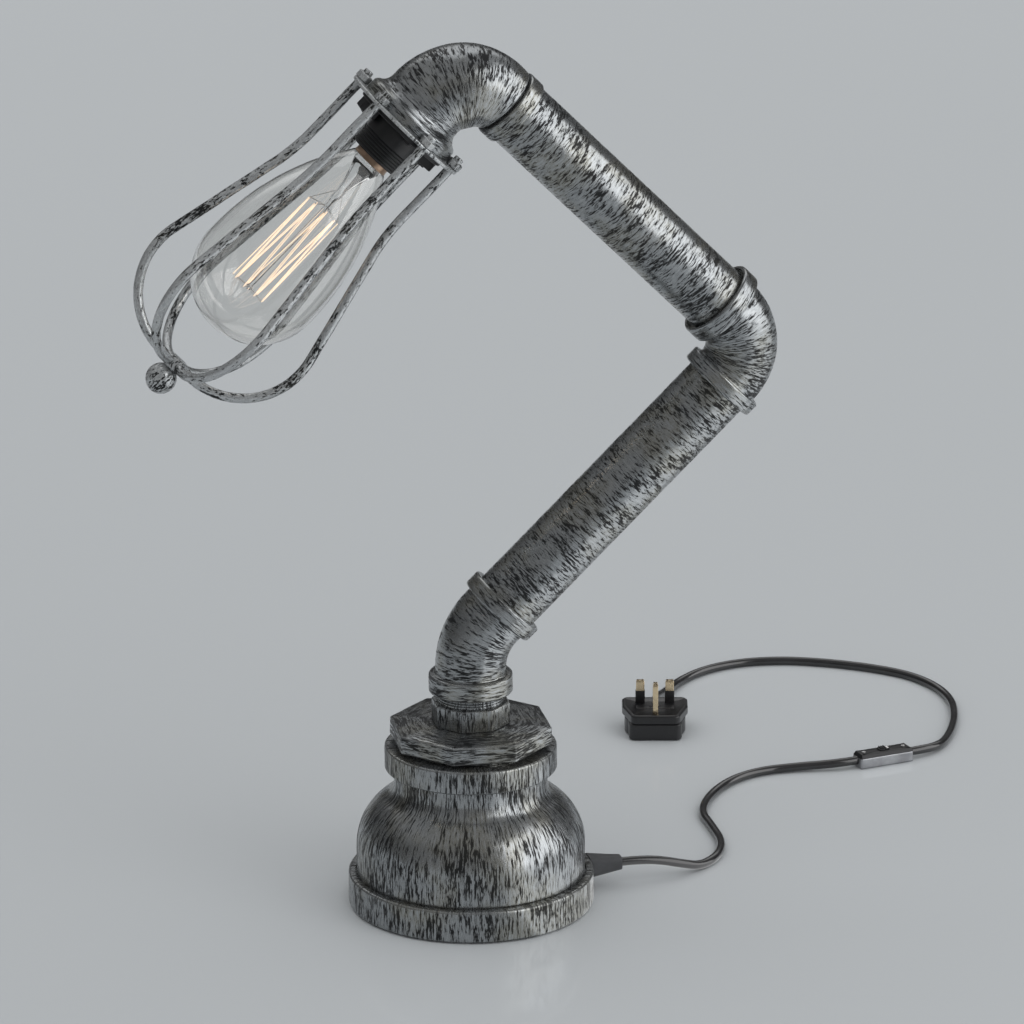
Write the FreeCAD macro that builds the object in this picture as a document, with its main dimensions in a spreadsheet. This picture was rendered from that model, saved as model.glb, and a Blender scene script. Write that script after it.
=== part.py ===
import FreeCAD, Part
import math
import os
import Sketcher
from FreeCAD import Placement, Rotation, Vector

# Industrial pipe table lamp, in millimetres and degrees.
# The origin is the centre of the base on the table, +Z is up and both pipes lie in the XZ plane.

SIZES = {
    # Stand: a hollow bell casting, its bottom plate and what the bell holds.
    "base_radius": 87.0,
    "rim_lift": 1.0,
    "band_height": 23.0,
    "band_step": 6.0,
    "shoulder_height": 44.0,
    "shoulder_bend": 42.0,
    "throat_bend": 14.0,
    "neck_radius": 54.0,
    "casting_wall": 6.0,
    "top_band_radius": 61.0,
    "top_band_bottom": 101.0,
    "top_band_height": 17.0,
    "edge_round": 1.5,
    "lug_radius": 8.0,
    "lug_root": 1.0,
    "lug_height": 14.0,
    "plate_thickness": 3.0,
    "pad_thickness": 2.0,
    "pad_margin": 2.0,
    "ballast_radius": 46.0,
    "ballast_height": 24.0,
    "ballast_bore": 12.0,
    "ballast_chamfer": 2.0,
    "screw_radius": 2.0,
    "screw_length": 11.0,
    "screw_head_radius": 3.9,
    "screw_head_height": 2.4,
    "slot_width": 1.0,
    "slot_depth": 0.8,
    "seat_clearance": 0.1,
    "thread_clearance": 0.05,
    # Cord gland in the side of the stand.
    "gland_height": 16.0,
    "gland_neck_radius": 4.9,
    "gland_neck_length": 22.0,
    "relief_length": 24.0,
    "relief_root_width": 15.0,
    "relief_root_depth": 15.5,
    "relief_end_width": 10.0,
    "relief_corner": 2.0,
    "gland_nut_flats": 14.0,
    "gland_nut_thickness": 4.0,
    "cord_radius": 3.25,
    # Octagonal bushing and nipple on top of the stand.
    "octagon_flats": 107.5,
    "octagon_thickness": 13.6,
    "octagon_chamfer": 2.0,
    "octagon_gap": 3.0,
    "spigot_length": 17.0,
    "nipple_flats": 52.1,
    "nipple_octagon_height": 16.4,
    "nipple_neck_radius": 23.5,
    "nipple_bore": 16.0,
    "nipple_upper_length": 19.0,
    "nipple_lower_length": 22.0,
    "nipple_edge": 1.0,
    # Pipes and elbows.
    "pipe_radius": 24.15,
    "pipe_wall": 3.25,
    "pipe_edge": 0.6,
    "lean": 45.0,
    "elbow_height": 196.0,
    "lower_centres": 290.8,
    "upper_centres": 295.9,
    "swivel_clearance": 0.1,
    "swivel_gap": 0.3,
    "elbow_body_radius": 24.9,
    "elbow_bore": 19.0,
    "collar_radius": 29.5,
    "collar_edge": 1.2,
    "socket_lip": 1.0,
    "lower_bend": 50.0,
    "lower_inlet": 38.3,
    "lower_inlet_collar": 13.4,
    "lower_outlet": 37.5,
    "lower_outlet_collar": 11.5,
    "middle_bend": 33.0,
    "middle_inlet": 44.3,
    "middle_inlet_collar": 10.6,
    "middle_outlet": 46.4,
    "middle_outlet_collar": 12.4,
    "recess_radius": 27.0,
    "recess_depth": 5.0,
    # Top elbow: a swept casting that grows from the pipe to a wide mouth.
    "top_bend": 37.0,
    "top_inlet": 38.0,
    "top_throat_radius": 25.3,
    "top_body_radius": 29.5,
    "top_bore": 21.0,
    "mouth_bore": 24.0,
    "top_collar_radius": 37.0,
    "top_collar_height": 10.8,
    "top_collar_edge": 1.6,
    "top_collar_foot": 3.0,
    "top_swell_end": 0.6,
    "top_stations": 6,
    "top_outlet": 56.8,
    "top_spigot_length": 16.0,
    "top_spigot_bore": 12.0,
    "pipe_band_radius": 26.2,
    "pipe_band_width": 11.5,
    "pipe_band_gap": 2.0,
    "pipe_band_edge": 0.8,
    # Cage: a flat ring, six bent wires, a hub and a ball.
    "ring_radius": 48.0,
    "ring_thickness": 2.5,
    "wire_count": 6,
    "wire_radius": 3.4,
    "wire_circle": 42.7,
    "wire_stud": 11.0,
    "wire_flare": 13.0,
    "root_bend": 150.0,
    "belly_bend": 54.0,
    "cage_radius": 66.4,
    "cage_reach": 226.0,
    "nut_flats": 10.0,
    "nut_height": 5.5,
    "hub_flats": 18.0,
    "hub_height": 9.0,
    "knob_radius": 10.8,
    "knob_seat_radius": 5.0,
    # Lampholder and bulb.
    "holder_disc_radius": 36.0,
    "holder_disc_thickness": 3.5,
    "holder_lug_inner": 20.0,
    "holder_lug_outer": 34.0,
    "holder_lug_width": 13.0,
    "holder_lug_drop": 7.5,
    "holder_screw_circle": 29.0,
    "holder_screw_bite": 8.0,
    "holder_screw_depth": 10.0,
    "holder_edge": 0.8,
    "holder_floor": 2.0,
    "cable_way_radius": 4.25,
    "holder_radius": 19.0,
    "holder_wall": 4.0,
    "holder_body_length": 13.0,
    "skirt_length": 13.0,
    "skirt_ribs": 6,
    "rib_depth": 1.1,
    "latch_length": 13.0,
    "latch_width": 7.0,
    "latch_height": 5.0,
    "latch_sink": 0.2,
    "latch_start": 4.0,
    "latch_eye_start": 0.5,
    "latch_eye_radius": 1.4,
    "cap_radius": 13.3,
    "cap_length": 26.0,
    "cap_wall": 0.6,
    "cap_clearance": 0.3,
    "cap_show": 4.5,
    "cap_flare": 0.4,
    "cap_shell_start": 3.5,
    "cap_threads": 5,
    "cap_pitch": 3.6,
    "cap_thread_depth": 0.5,
    "insulator_end": 5.0,
    "contact_radius": 5.0,
    "contact_height": 1.0,
    "contact_step": 0.5,
    "contact_shell_start": 4.0,
    "tongue_radius": 6.0,
    "tongue_tip_radius": 2.0,
    "tongue_thickness": 1.0,
    "bulb_radius": 47.0,
    "bulb_neck_radius": 13.9,
    "bulb_shoulder": 109.0,
    "bulb_flank_bend": 184.0,
    "glass_wall": 0.8,
    "stem_length": 42.0,
    "stem_rod_radius": 2.0,
    "filament_top": 45.0,
    "filament_length": 76.0,
    "filament_top_radius": 8.0,
    "filament_low_radius": 13.0,
    "filament_strands": 8,
    "strand_radius": 0.45,
    "strand_inset": 0.8,
    "hoop_thickness": 0.72,
    "hoop_gap": 0.2,
    # In-line switch.
    "switch_length": 44.2,
    "switch_width": 14.0,
    "switch_base_height": 8.0,
    "switch_cover_height": 3.0,
    "switch_wall": 1.6,
    "switch_end_wall": 4.0,
    "switch_corner": 1.5,
    "switch_end_slope": 1.5,
    "switch_side_slope": 2.0,
    "switch_cord_height": 5.5,
    "slider_length": 9.0,
    "slider_width": 6.0,
    "slider_height": 2.2,
    "slider_stem": 4.4,
    "slider_stem_width": 2.6,
    "slider_travel": 3.0,
    "slider_clearance": 0.3,
    "slider_foot_height": 1.5,
    "switch_screw_spread": 33.0,
    "switch_screw_radius": 1.0,
    "switch_screw_rise": 1.8,
    "strip_length": 10.0,
    "strip_width": 4.0,
    "strip_height": 2.0,
    "strip_reach": 8.0,
    # Plug with three flat pins, lying on its back.
    "plug_length": 44.0,
    "plug_cover_width": 40.0,
    "plug_cover_height": 13.0,
    "plug_flange_height": 7.0,
    "plug_flange_width": 49.5,
    "plug_nose_width": 35.0,
    "plug_corner": 5.0,
    "plug_wall": 2.5,
    "grip_length": 20.0,
    "grip_bulge": 3.0,
    "grip_bottom": 1.5,
    "plug_waist": 2.0,
    "pin_spacing": 22.2,
    "pin_reach": 17.7,
    "pin_width": 6.35,
    "pin_thickness": 3.9,
    "pin_root": 2.0,
    "sleeve_height": 9.5,
    "sleeve_wall": 0.4,
    "earth_reach": 22.7,
    "earth_width": 4.0,
    "earth_length": 8.0,
    "live_row": 10.0,
    "fuse_radius": 3.15,
    "fuse_length": 25.4,
    "carrier_length": 28.6,
    "carrier_width": 8.0,
    "carrier_height": 1.6,
    "carrier_offset": 0.9,
    "carrier_clearance": 0.1,
    "plug_outlet_radius": 5.5,
    "plug_outlet_length": 6.0,
    "plug_outlet_root": 1.0,
    "plug_cord_height": 11.0,
}

# Directions that are not lengths, in degrees.
GLAND_AZIMUTH = 6.0
SWITCH_TURN = 14.0
PLUG_TURN = -11.0
ROD_TURN = 20.6

# Where the switch and the plug lie on the table.
SWITCH_PLACE = Vector(352.85, 214.2, 0)
PLUG_PLACE = Vector(200.3, 313.5, 0)

# Straight lengths of cord before the switch and the plug, and after the switch.
LEAD_IN = 16.0
LEAD_OUT = 13.0

# The free cord's route on the table, from the gland to the switch and from the switch to the plug.
# Its two ends at the gland, the switch and the plug are worked out from those pieces.
CORD_TO_SWITCH = [
    (122.7, 12.8, 16.0), (139.4, 14.7, 14.0), (156.2, 17.5, 9.0), (171.9, 24.7, 3.25),
    (188.4, 41.8, 3.25), (197.7, 68.5, 3.25), (197.1, 102.3, 3.25), (195.4, 130.1, 3.25),
    (207.6, 161.4, 3.25), (229.6, 190.3, 3.25), (256.0, 206.5, 3.25), (287.0, 208.5, 3.8),
]
CORD_TO_PLUG = [
    (398.5, 230.5, 4.4), (407.9, 243.5, 3.25), (419.5, 267.5, 3.25), (429.8, 298.5, 3.25),
    (435.2, 331.0, 3.25),
    (431.1, 362.4, 3.25), (416.4, 391.7, 3.25), (391.0, 413.0, 3.25), (360.8, 430.6, 3.25),
    (328.5, 442.5, 3.25), (295.1, 443.8, 3.25), (264.4, 432.5, 3.25), (239.8, 410.8, 3.25),
    (223.3, 383.4, 5.2),
]

doc = FreeCAD.newDocument("PipeLamp")
sheet = doc.addObject("Spreadsheet::Sheet", "Sizes")
for line, (alias, number) in enumerate(SIZES.items(), start=1):
    sheet.set("A%d" % line, alias)
    sheet.set("B%d" % line, str(number))
    sheet.setAlias("B%d" % line, alias)
doc.recompute()


class Size:
    """A length or angle: its number now, and the expression that gives it from the sheet."""

    def __init__(self, value, text):
        self.value = value
        self.text = text

    def __add__(self, other):
        other = size(other)
        return Size(self.value + other.value, "(%s + %s)" % (self.text, other.text))

    def __radd__(self, other):
        return size(other) + self

    def __sub__(self, other):
        other = size(other)
        return Size(self.value - other.value, "(%s - %s)" % (self.text, other.text))

    def __rsub__(self, other):
        return size(other) - self

    def __mul__(self, other):
        other = size(other)
        return Size(self.value * other.value, "(%s * %s)" % (self.text, other.text))

    def __rmul__(self, other):
        return size(other) * self

    def __truediv__(self, other):
        other = size(other)
        return Size(self.value / other.value, "(%s / %s)" % (self.text, other.text))

    def __neg__(self):
        return Size(-self.value, "(0 - %s)" % self.text)


def size(number):
    """A Size from a plain number; a Size stays as it is."""
    if isinstance(number, Size):
        return number
    return Size(float(number), "(%r)" % float(number))


def sine(angle):
    angle = size(angle)
    return Size(math.sin(math.radians(angle.value)), "sin(%s)" % angle.text)


def cosine(angle):
    angle = size(angle)
    return Size(math.cos(math.radians(angle.value)), "cos(%s)" % angle.text)


def root(number):
    return Size(math.sqrt(number.value), "sqrt(%s)" % number.text)


class Driving:
    """Gives each cell of the sheet as a Size by its alias."""

    def __getattr__(self, alias):
        return Size(float(getattr(sheet, alias)), "Sizes." + alias)


d = Driving()

# Heights and radii that several pieces share.
SCREW_WAY = d.screw_radius + d.thread_clearance
BAND_TOP = d.rim_lift + d.band_height
BELL_RADIUS = d.base_radius - d.band_step
BELL_BORE = BELL_RADIUS - d.casting_wall
LUG_CIRCLE = BELL_BORE - d.lug_radius + d.lug_root
NECK_BORE = d.neck_radius - d.casting_wall
STAND_TOP = d.top_band_bottom + d.top_band_height
PLATE_BOTTOM = d.pad_thickness
PLATE_TOP = d.pad_thickness + d.plate_thickness
OCTAGON_BOTTOM = STAND_TOP + d.octagon_gap
OCTAGON_TOP = OCTAGON_BOTTOM + d.octagon_thickness
NIPPLE_SHOULDER = OCTAGON_TOP + d.nipple_octagon_height
NIPPLE_TOP = NIPPLE_SHOULDER + d.nipple_upper_length
PIPE_BORE = d.pipe_radius - d.pipe_wall
RING_PLANE = d.top_outlet + d.ring_thickness
HALF_OCTAGON = 180.0 / 8
HALF_HEXAGON = 180.0 / 6

# Corners where the centrelines of the three elbows turn, and the frames of what follows them.
lean = d.lean.value
UP_PIPE = Vector(math.sin(math.radians(lean)), 0, math.cos(math.radians(lean)))
BACK_PIPE = Vector(-math.cos(math.radians(lean)), 0, math.sin(math.radians(lean)))
LOWER_CORNER = Vector(0, 0, d.elbow_height.value)
MIDDLE_CORNER = LOWER_CORNER + UP_PIPE * d.lower_centres.value
TOP_CORNER = MIDDLE_CORNER + BACK_PIPE * d.upper_centres.value
HALF_TURN = Rotation(Vector(0, 0, 1), 180)


def tilt(angle):
    return Rotation(Vector(0, 1, 0), angle)


STAND_FRAME = Placement()
LOWER_ELBOW_FRAME = Placement(LOWER_CORNER, Rotation())
LOWER_PIPE_FRAME = Placement(LOWER_CORNER, tilt(lean))
MIDDLE_ELBOW_FRAME = Placement(MIDDLE_CORNER, tilt(lean) * HALF_TURN)
UPPER_PIPE_FRAME = Placement(MIDDLE_CORNER, tilt(lean - 90))
TOP_ELBOW_FRAME = Placement(TOP_CORNER, tilt(lean - 90) * HALF_TURN)
CAGE_FRAME = Placement(TOP_CORNER - UP_PIPE * RING_PLANE.value, tilt(lean - 180))
ROD_FRAME = CAGE_FRAME.multiply(Placement(Vector(0, 0, 0), Rotation(Vector(0, 0, 1), ROD_TURN)))
SWITCH_FRAME = Placement(SWITCH_PLACE, Rotation(Vector(0, 0, 1), SWITCH_TURN))
PLUG_FRAME = Placement(PLUG_PLACE, Rotation(Vector(0, 0, 1), PLUG_TURN))
GLAND_FRAME = Placement(Vector(0, 0, d.gland_height.value), Rotation(Vector(0, 0, 1), GLAND_AZIMUTH))
GLAND_OUTWARD = GLAND_FRAME.multiply(Placement(Vector(0, 0, 0), Rotation(Vector(0, 1, 0), 90)))

nodes = {}


def keep(label, piece, frame):
    """Names a finished sub-part, sets it in place and puts it on the list of nodes."""
    piece.Label = label
    piece.Placement = frame.multiply(piece.Placement)
    nodes[label] = piece
    return piece


def bind(piece, **sizes):
    """Ties properties of a document object to cells of the sheet."""
    for name, number in sizes.items():
        number = size(number)
        setattr(piece, name, number.value)
        piece.setExpression(name, number.text)
    return piece


def cylinder(name, radius, height, at=(0, 0, 0), rotation=Rotation()):
    piece = doc.addObject("Part::Cylinder", name)
    bind(piece, Radius=radius, Height=height)
    piece.Placement = Placement(Vector(*[size(number).value for number in at]), rotation)
    return piece


def box(name, length, width, height, at=(0, 0, 0)):
    """A box centred on at in X and Y, and standing on it in Z."""
    piece = doc.addObject("Part::Box", name)
    bind(piece, Length=length, Width=width, Height=height)
    corner = (size(at[0]) - size(length) / 2, size(at[1]) - size(width) / 2, size(at[2]))
    piece.Placement = Placement(Vector(*[number.value for number in corner]), Rotation())
    return piece


def prism(name, sides, flats, height, bottom, turn=0.0):
    """A regular prism given by its distance across flats."""
    piece = doc.addObject("Part::Prism", name)
    piece.Polygon = sides
    bind(piece, Circumradius=size(flats) / 2 / cosine(180.0 / sides), Height=height)
    piece.Placement = Placement(Vector(0, 0, size(bottom).value), Rotation(Vector(0, 0, 1), turn))
    return piece


def cut(name, base, *tools):
    """Base with every tool taken away."""
    piece = doc.addObject("Part::Cut", name)
    piece.Base = base
    piece.Tool = tools[0] if len(tools) == 1 else group(name + "_tools", tools)
    return piece


def fuse(name, *shapes):
    piece = doc.addObject("Part::MultiFuse", name)
    piece.Shapes = list(shapes)
    return piece


def common(name, first, second):
    piece = doc.addObject("Part::Common", name)
    piece.Base = first
    piece.Tool = second
    return piece


def group(name, shapes):
    """Separate solids that are kept together."""
    piece = doc.addObject("Part::Compound", name)
    piece.Links = list(shapes)
    return piece


def origin_plane(body, role):
    for feature in body.Origin.OriginFeatures:
        if feature.Role == role:
            return feature
    raise ValueError("no plane " + role)


def sketch_on(body, name, role, offset=Placement()):
    sketch = body.newObject("Sketcher::SketchObject", name)
    sketch.AttachmentSupport = [(origin_plane(body, role), "")]
    sketch.MapMode = "FlatFace"
    sketch.AttachmentOffset = offset
    return sketch


def raised(height):
    """A sketch offset that lifts its plane to a height."""
    return Placement(Vector(0, 0, size(height).value), Rotation())


def hold(sketch, kind, geometry, end, number):
    """Fixes one coordinate of a point of the sketch to a size, on either side of the origin."""
    value = size(number).value
    if abs(value) < 1e-9:
        axis = -2 if kind == "DistanceX" else -1
        sketch.addConstraint(Sketcher.Constraint("PointOnObject", geometry, end, axis))
    elif value > 0:
        index = sketch.addConstraint(Sketcher.Constraint(kind, -1, 1, geometry, end, value))
        sketch.setExpression("Constraints[%d]" % index, size(number).text)
    else:
        index = sketch.addConstraint(Sketcher.Constraint(kind, geometry, end, -1, 1, -value))
        sketch.setExpression("Constraints[%d]" % index, size(-size(number)).text)


def near(sketch, geometry, place):
    """The end of a piece of geometry, 1 or 2, that lies at a place."""
    first = sketch.getPoint(geometry, 1)
    second = sketch.getPoint(geometry, 2)
    return 1 if (first - place).Length < (second - place).Length else 2


def outline(sketch, corners, closed=True):
    """Lines and arcs through corners (x, y) or (x, y, radius).

    A corner with a radius is reached by an arc: it bulges to the left of the way there
    when the radius is positive, and to the right when it is negative.
    """
    places = [Vector(size(corner[0]).value, size(corner[1]).value, 0) for corner in corners]
    edges = []
    first = 0 if closed else 1
    for index in range(first, len(corners)):
        start = places[index - 1]
        end = places[index]
        if len(corners[index]) == 2:
            geometry = sketch.addGeometry(Part.LineSegment(start, end))
        else:
            radius = size(corners[index][2])
            half = (end - start) * 0.5
            left = Vector(-half.y, half.x, 0).normalize()
            sagitta = abs(radius.value) - math.sqrt(radius.value ** 2 - half.Length ** 2)
            middle = start + half + left * math.copysign(sagitta, radius.value)
            geometry = sketch.addGeometry(Part.ArcOfCircle(start, middle, end))
        edges.append((geometry, near(sketch, geometry, start), near(sketch, geometry, end), index))
    joints = zip(edges, edges[1:] + edges[:1]) if closed else zip(edges, edges[1:])
    for (before, _, before_end, _), (after, after_start, _, _) in joints:
        sketch.addConstraint(Sketcher.Constraint("Coincident", before, before_end, after, after_start))
    for geometry, start_point, end_point, index in edges:
        hold(sketch, "DistanceX", geometry, end_point, corners[index][0])
        hold(sketch, "DistanceY", geometry, end_point, corners[index][1])
        if len(corners[index]) == 3:
            radius = size(corners[index][2])
            radius = radius if radius.value > 0 else -radius
            mark = sketch.addConstraint(Sketcher.Constraint("Radius", geometry, radius.value))
            sketch.setExpression("Constraints[%d]" % mark, radius.text)
    if not closed:
        geometry, start_point, _, _ = edges[0]
        hold(sketch, "DistanceX", geometry, start_point, corners[0][0])
        hold(sketch, "DistanceY", geometry, start_point, corners[0][1])


def circle(sketch, radius, centre=(0, 0)):
    place = Vector(size(centre[0]).value, size(centre[1]).value, 0)
    geometry = sketch.addGeometry(Part.Circle(place, Vector(0, 0, 1), size(radius).value))
    index = sketch.addConstraint(Sketcher.Constraint("Radius", geometry, size(radius).value))
    sketch.setExpression("Constraints[%d]" % index, size(radius).text)
    hold(sketch, "DistanceX", geometry, 3, centre[0])
    hold(sketch, "DistanceY", geometry, 3, centre[1])


def body_named(name):
    return doc.addObject("PartDesign::Body", name)


def revolve(body, name, corners, offset=Placement()):
    """A profile in the XZ plane (x, z), turned once about Z, or about the offset's own upright."""
    sketch = sketch_on(body, name + "_profile", "XZ_Plane", offset)
    outline(sketch, corners)
    turn = body.newObject("PartDesign::Revolution", name + "_turn")
    turn.Profile = sketch
    turn.ReferenceAxis = (sketch, ["V_Axis"])
    turn.Angle = 360
    return turn


def turned(name, corners):
    body = body_named(name)
    revolve(body, name, corners)
    return body


def extruded(name, corners, height, bottom=0.0):
    """An outline in XY, raised from bottom by height."""
    body = body_named(name)
    sketch = sketch_on(body, name + "_outline", "XY_Plane", raised(bottom))
    outline(sketch, corners)
    pad = body.newObject("PartDesign::Pad", name + "_pad")
    pad.Profile = sketch
    bind(pad, Length=height)
    return body


def rounded_rectangle(length, width, corner):
    """Corners of a rectangle about the origin whose corners are quarter circles."""
    half_x = size(length) / 2
    half_y = size(width) / 2
    corner = size(corner)
    return [
        (half_x - corner, -half_y),
        (half_x, corner - half_y, -corner),
        (half_x, half_y - corner),
        (half_x - corner, half_y, -corner),
        (corner - half_x, half_y),
        (-half_x, half_y - corner, -corner),
        (-half_x, corner - half_y),
        (corner - half_x, -half_y, -corner),
    ]


# Stand


def at_lug(piece, number):
    """Moves a piece on the axis out to one of the four lugs."""
    turn = Rotation(Vector(0, 0, 1), 45 + 90 * number)
    arm = turn.multVec(Vector(LUG_CIRCLE.value, 0, 0))
    piece.Placement = Placement(arm, Rotation()).multiply(piece.Placement)
    return piece


def stand_casting():
    """The bell: a heavy band on the table, a shoulder, a throat and a band round its mouth."""
    shoulder_centre = BELL_RADIUS - d.shoulder_bend
    throat_centre = d.neck_radius + d.throat_bend
    across = throat_centre - shoulder_centre
    reach = d.shoulder_bend + d.throat_bend
    throat_height = d.shoulder_height + root(reach * reach - across * across)
    rise = throat_height - d.shoulder_height
    meet_outer = d.shoulder_bend / reach
    meet_inner = (d.shoulder_bend - d.casting_wall) / reach
    edge = d.edge_round
    ledge = d.base_radius - d.casting_wall
    corners = [
        (ledge, d.rim_lift),
        (d.base_radius - edge, d.rim_lift),
        (d.base_radius, d.rim_lift + edge, -edge),
        (d.base_radius, BAND_TOP - edge),
        (d.base_radius - edge, BAND_TOP, -edge),
        (BELL_RADIUS, BAND_TOP),
        (BELL_RADIUS, d.shoulder_height),
        (shoulder_centre + across * meet_outer, d.shoulder_height + rise * meet_outer, -d.shoulder_bend),
        (d.neck_radius, throat_height, d.throat_bend),
        (d.neck_radius, d.top_band_bottom),
        (d.top_band_radius - edge, d.top_band_bottom),
        (d.top_band_radius, d.top_band_bottom + edge, -edge),
        (d.top_band_radius, STAND_TOP - edge),
        (d.top_band_radius - edge, STAND_TOP, -edge),
        (NECK_BORE, STAND_TOP),
        (NECK_BORE, throat_height),
        (
            shoulder_centre + across * meet_inner,
            d.shoulder_height + rise * meet_inner,
            -(d.throat_bend + d.casting_wall),
        ),
        (BELL_BORE, d.shoulder_height, d.shoulder_bend - d.casting_wall),
        (BELL_BORE, PLATE_TOP),
        (ledge, PLATE_TOP),
    ]
    bell = turned("bell", corners)
    lugs = []
    holes = []
    for number in range(4):
        lug = cylinder("lug_%d" % number, d.lug_radius, d.lug_height, (0, 0, PLATE_TOP))
        hole = cylinder("tapped_%d" % number, SCREW_WAY, d.screw_length, (0, 0, PLATE_TOP))
        lugs.append(at_lug(lug, number))
        holes.append(at_lug(hole, number))
    gland_hole = cylinder("gland_hole", d.gland_neck_radius + d.seat_clearance, d.base_radius)
    gland_hole.Placement = GLAND_OUTWARD
    casting = cut("casting", fuse("bell_with_lugs", bell, *lugs), gland_hole, *holes)
    return keep("reducer_base", casting, STAND_FRAME)


def bottom_plate():
    radius = d.base_radius - d.casting_wall - d.seat_clearance
    blank = cylinder("plate_blank", radius, d.plate_thickness, (0, 0, PLATE_BOTTOM))
    sink = d.screw_head_radius + d.thread_clearance
    ways = []
    for number in range(4):
        hole = doc.addObject("Part::Cone", "countersink_%d" % number)
        bind(hole, Radius1=sink, Radius2=SCREW_WAY, Height=sink - SCREW_WAY)
        hole.Placement = Placement(Vector(0, 0, PLATE_BOTTOM.value), Rotation())
        through = cylinder("plate_way_%d" % number, SCREW_WAY, d.plate_thickness, (0, 0, PLATE_BOTTOM))
        ways += [at_lug(hole, number), at_lug(through, number)]
    return keep("bottom_plate", cut("plate", blank, fuse("plate_ways", *ways)), STAND_FRAME)


def screw_slot(name, place):
    """The block that cuts a driver slot across a screw's head."""
    return box(name, d.screw_head_radius * 2, d.slot_width, d.slot_depth, place)


def plate_screws():
    """Four countersunk screws that hold the plate to the lugs."""
    screws = []
    head = d.screw_head_radius - d.screw_radius
    for number in range(4):
        corners = [
            (0, PLATE_BOTTOM),
            (d.screw_head_radius, PLATE_BOTTOM),
            (d.screw_radius, PLATE_BOTTOM + head),
            (d.screw_radius, PLATE_BOTTOM + d.screw_length),
            (0, PLATE_BOTTOM + d.screw_length),
        ]
        slot = screw_slot("screw_slot_%d" % number, (0, 0, PLATE_BOTTOM))
        screw = cut("plate_screw_%d" % number, turned("screw_blank_%d" % number, corners), slot)
        screws.append(at_lug(screw, number))
    return keep("plate_screws", group("plate_screw_set", screws), STAND_FRAME)


def foot_pad():
    """A soft disc stuck under the plate, inside the screws."""
    radius = LUG_CIRCLE - d.screw_head_radius - d.pad_margin
    return keep("foot_pad", cylinder("pad", radius, d.pad_thickness), STAND_FRAME)


def ballast():
    top = PLATE_TOP + d.ballast_height
    chamfer = d.ballast_chamfer
    corners = [
        (d.ballast_bore, PLATE_TOP),
        (d.ballast_radius, PLATE_TOP),
        (d.ballast_radius, top - chamfer),
        (d.ballast_radius - chamfer, top),
        (d.ballast_bore, top),
    ]
    return keep("ballast_disc", turned("ballast", corners), STAND_FRAME)


def strain_relief():
    """A tapered sleeve on the outside of the band, with a threaded neck through the wall."""
    body = body_named("relief")
    root_sketch = sketch_on(body, "relief_root", "XY_Plane", raised(d.base_radius))
    outline(root_sketch, rounded_rectangle(d.relief_root_depth, d.relief_root_width, d.relief_corner))
    end_sketch = sketch_on(body, "relief_end", "XY_Plane", raised(d.base_radius + d.relief_length))
    outline(end_sketch, rounded_rectangle(d.relief_end_width, d.relief_end_width, d.relief_corner))
    loft = body.newObject("PartDesign::AdditiveLoft", "relief_loft")
    loft.Profile = root_sketch
    loft.Sections = [(end_sketch, [""])]
    loft.Ruled = True
    neck_start = (0, 0, d.base_radius - d.gland_neck_length)
    neck = cylinder("relief_neck", d.gland_neck_radius, d.gland_neck_length, neck_start)
    sleeve = fuse("relief_with_neck", body, neck)
    bore = cylinder("relief_bore", d.cord_radius, d.gland_neck_length, neck_start)
    return keep("strain_relief", cut("relief_bored", sleeve, bore), GLAND_OUTWARD)


def gland_nut():
    face = root(BELL_BORE * BELL_BORE - d.gland_nut_flats * d.gland_nut_flats / 3) - d.seat_clearance
    bottom = face - d.gland_nut_thickness
    nut = prism("nut_blank", 6, d.gland_nut_flats, d.gland_nut_thickness, bottom)
    thread = d.gland_neck_radius + d.thread_clearance
    bore = cylinder("nut_bore", thread, d.gland_nut_thickness, (0, 0, bottom))
    return keep("gland_nut", cut("nut", nut, bore), GLAND_OUTWARD)


def bushing():
    """An octagonal reducing bushing: a chamfered plate over a spigot, bored for the nipple."""
    corner = d.octagon_flats / 2 / cosine(HALF_OCTAGON)
    flat = d.octagon_flats / 2
    drop = d.octagon_chamfer
    blank = turned("bushing_blank", [
        (0, OCTAGON_BOTTOM),
        (flat, OCTAGON_BOTTOM),
        (corner, OCTAGON_BOTTOM + drop),
        (corner, OCTAGON_TOP - drop),
        (flat, OCTAGON_TOP),
        (0, OCTAGON_TOP),
    ])
    plate = prism("bushing_octagon", 8, d.octagon_flats, d.octagon_thickness, OCTAGON_BOTTOM, HALF_OCTAGON)
    spigot_bottom = OCTAGON_BOTTOM - d.spigot_length
    spigot = cylinder("bushing_spigot", NECK_BORE - d.seat_clearance, d.spigot_length, (0, 0, spigot_bottom))
    bore = cylinder("bushing_bore", d.nipple_neck_radius + d.thread_clearance,
                    d.spigot_length + d.octagon_thickness, (0, 0, spigot_bottom))
    whole = fuse("bushing_whole", common("bushing_plate", blank, plate), spigot)
    return keep("octagon_bushing", cut("bushing_bored", whole, bore), STAND_FRAME)


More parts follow.
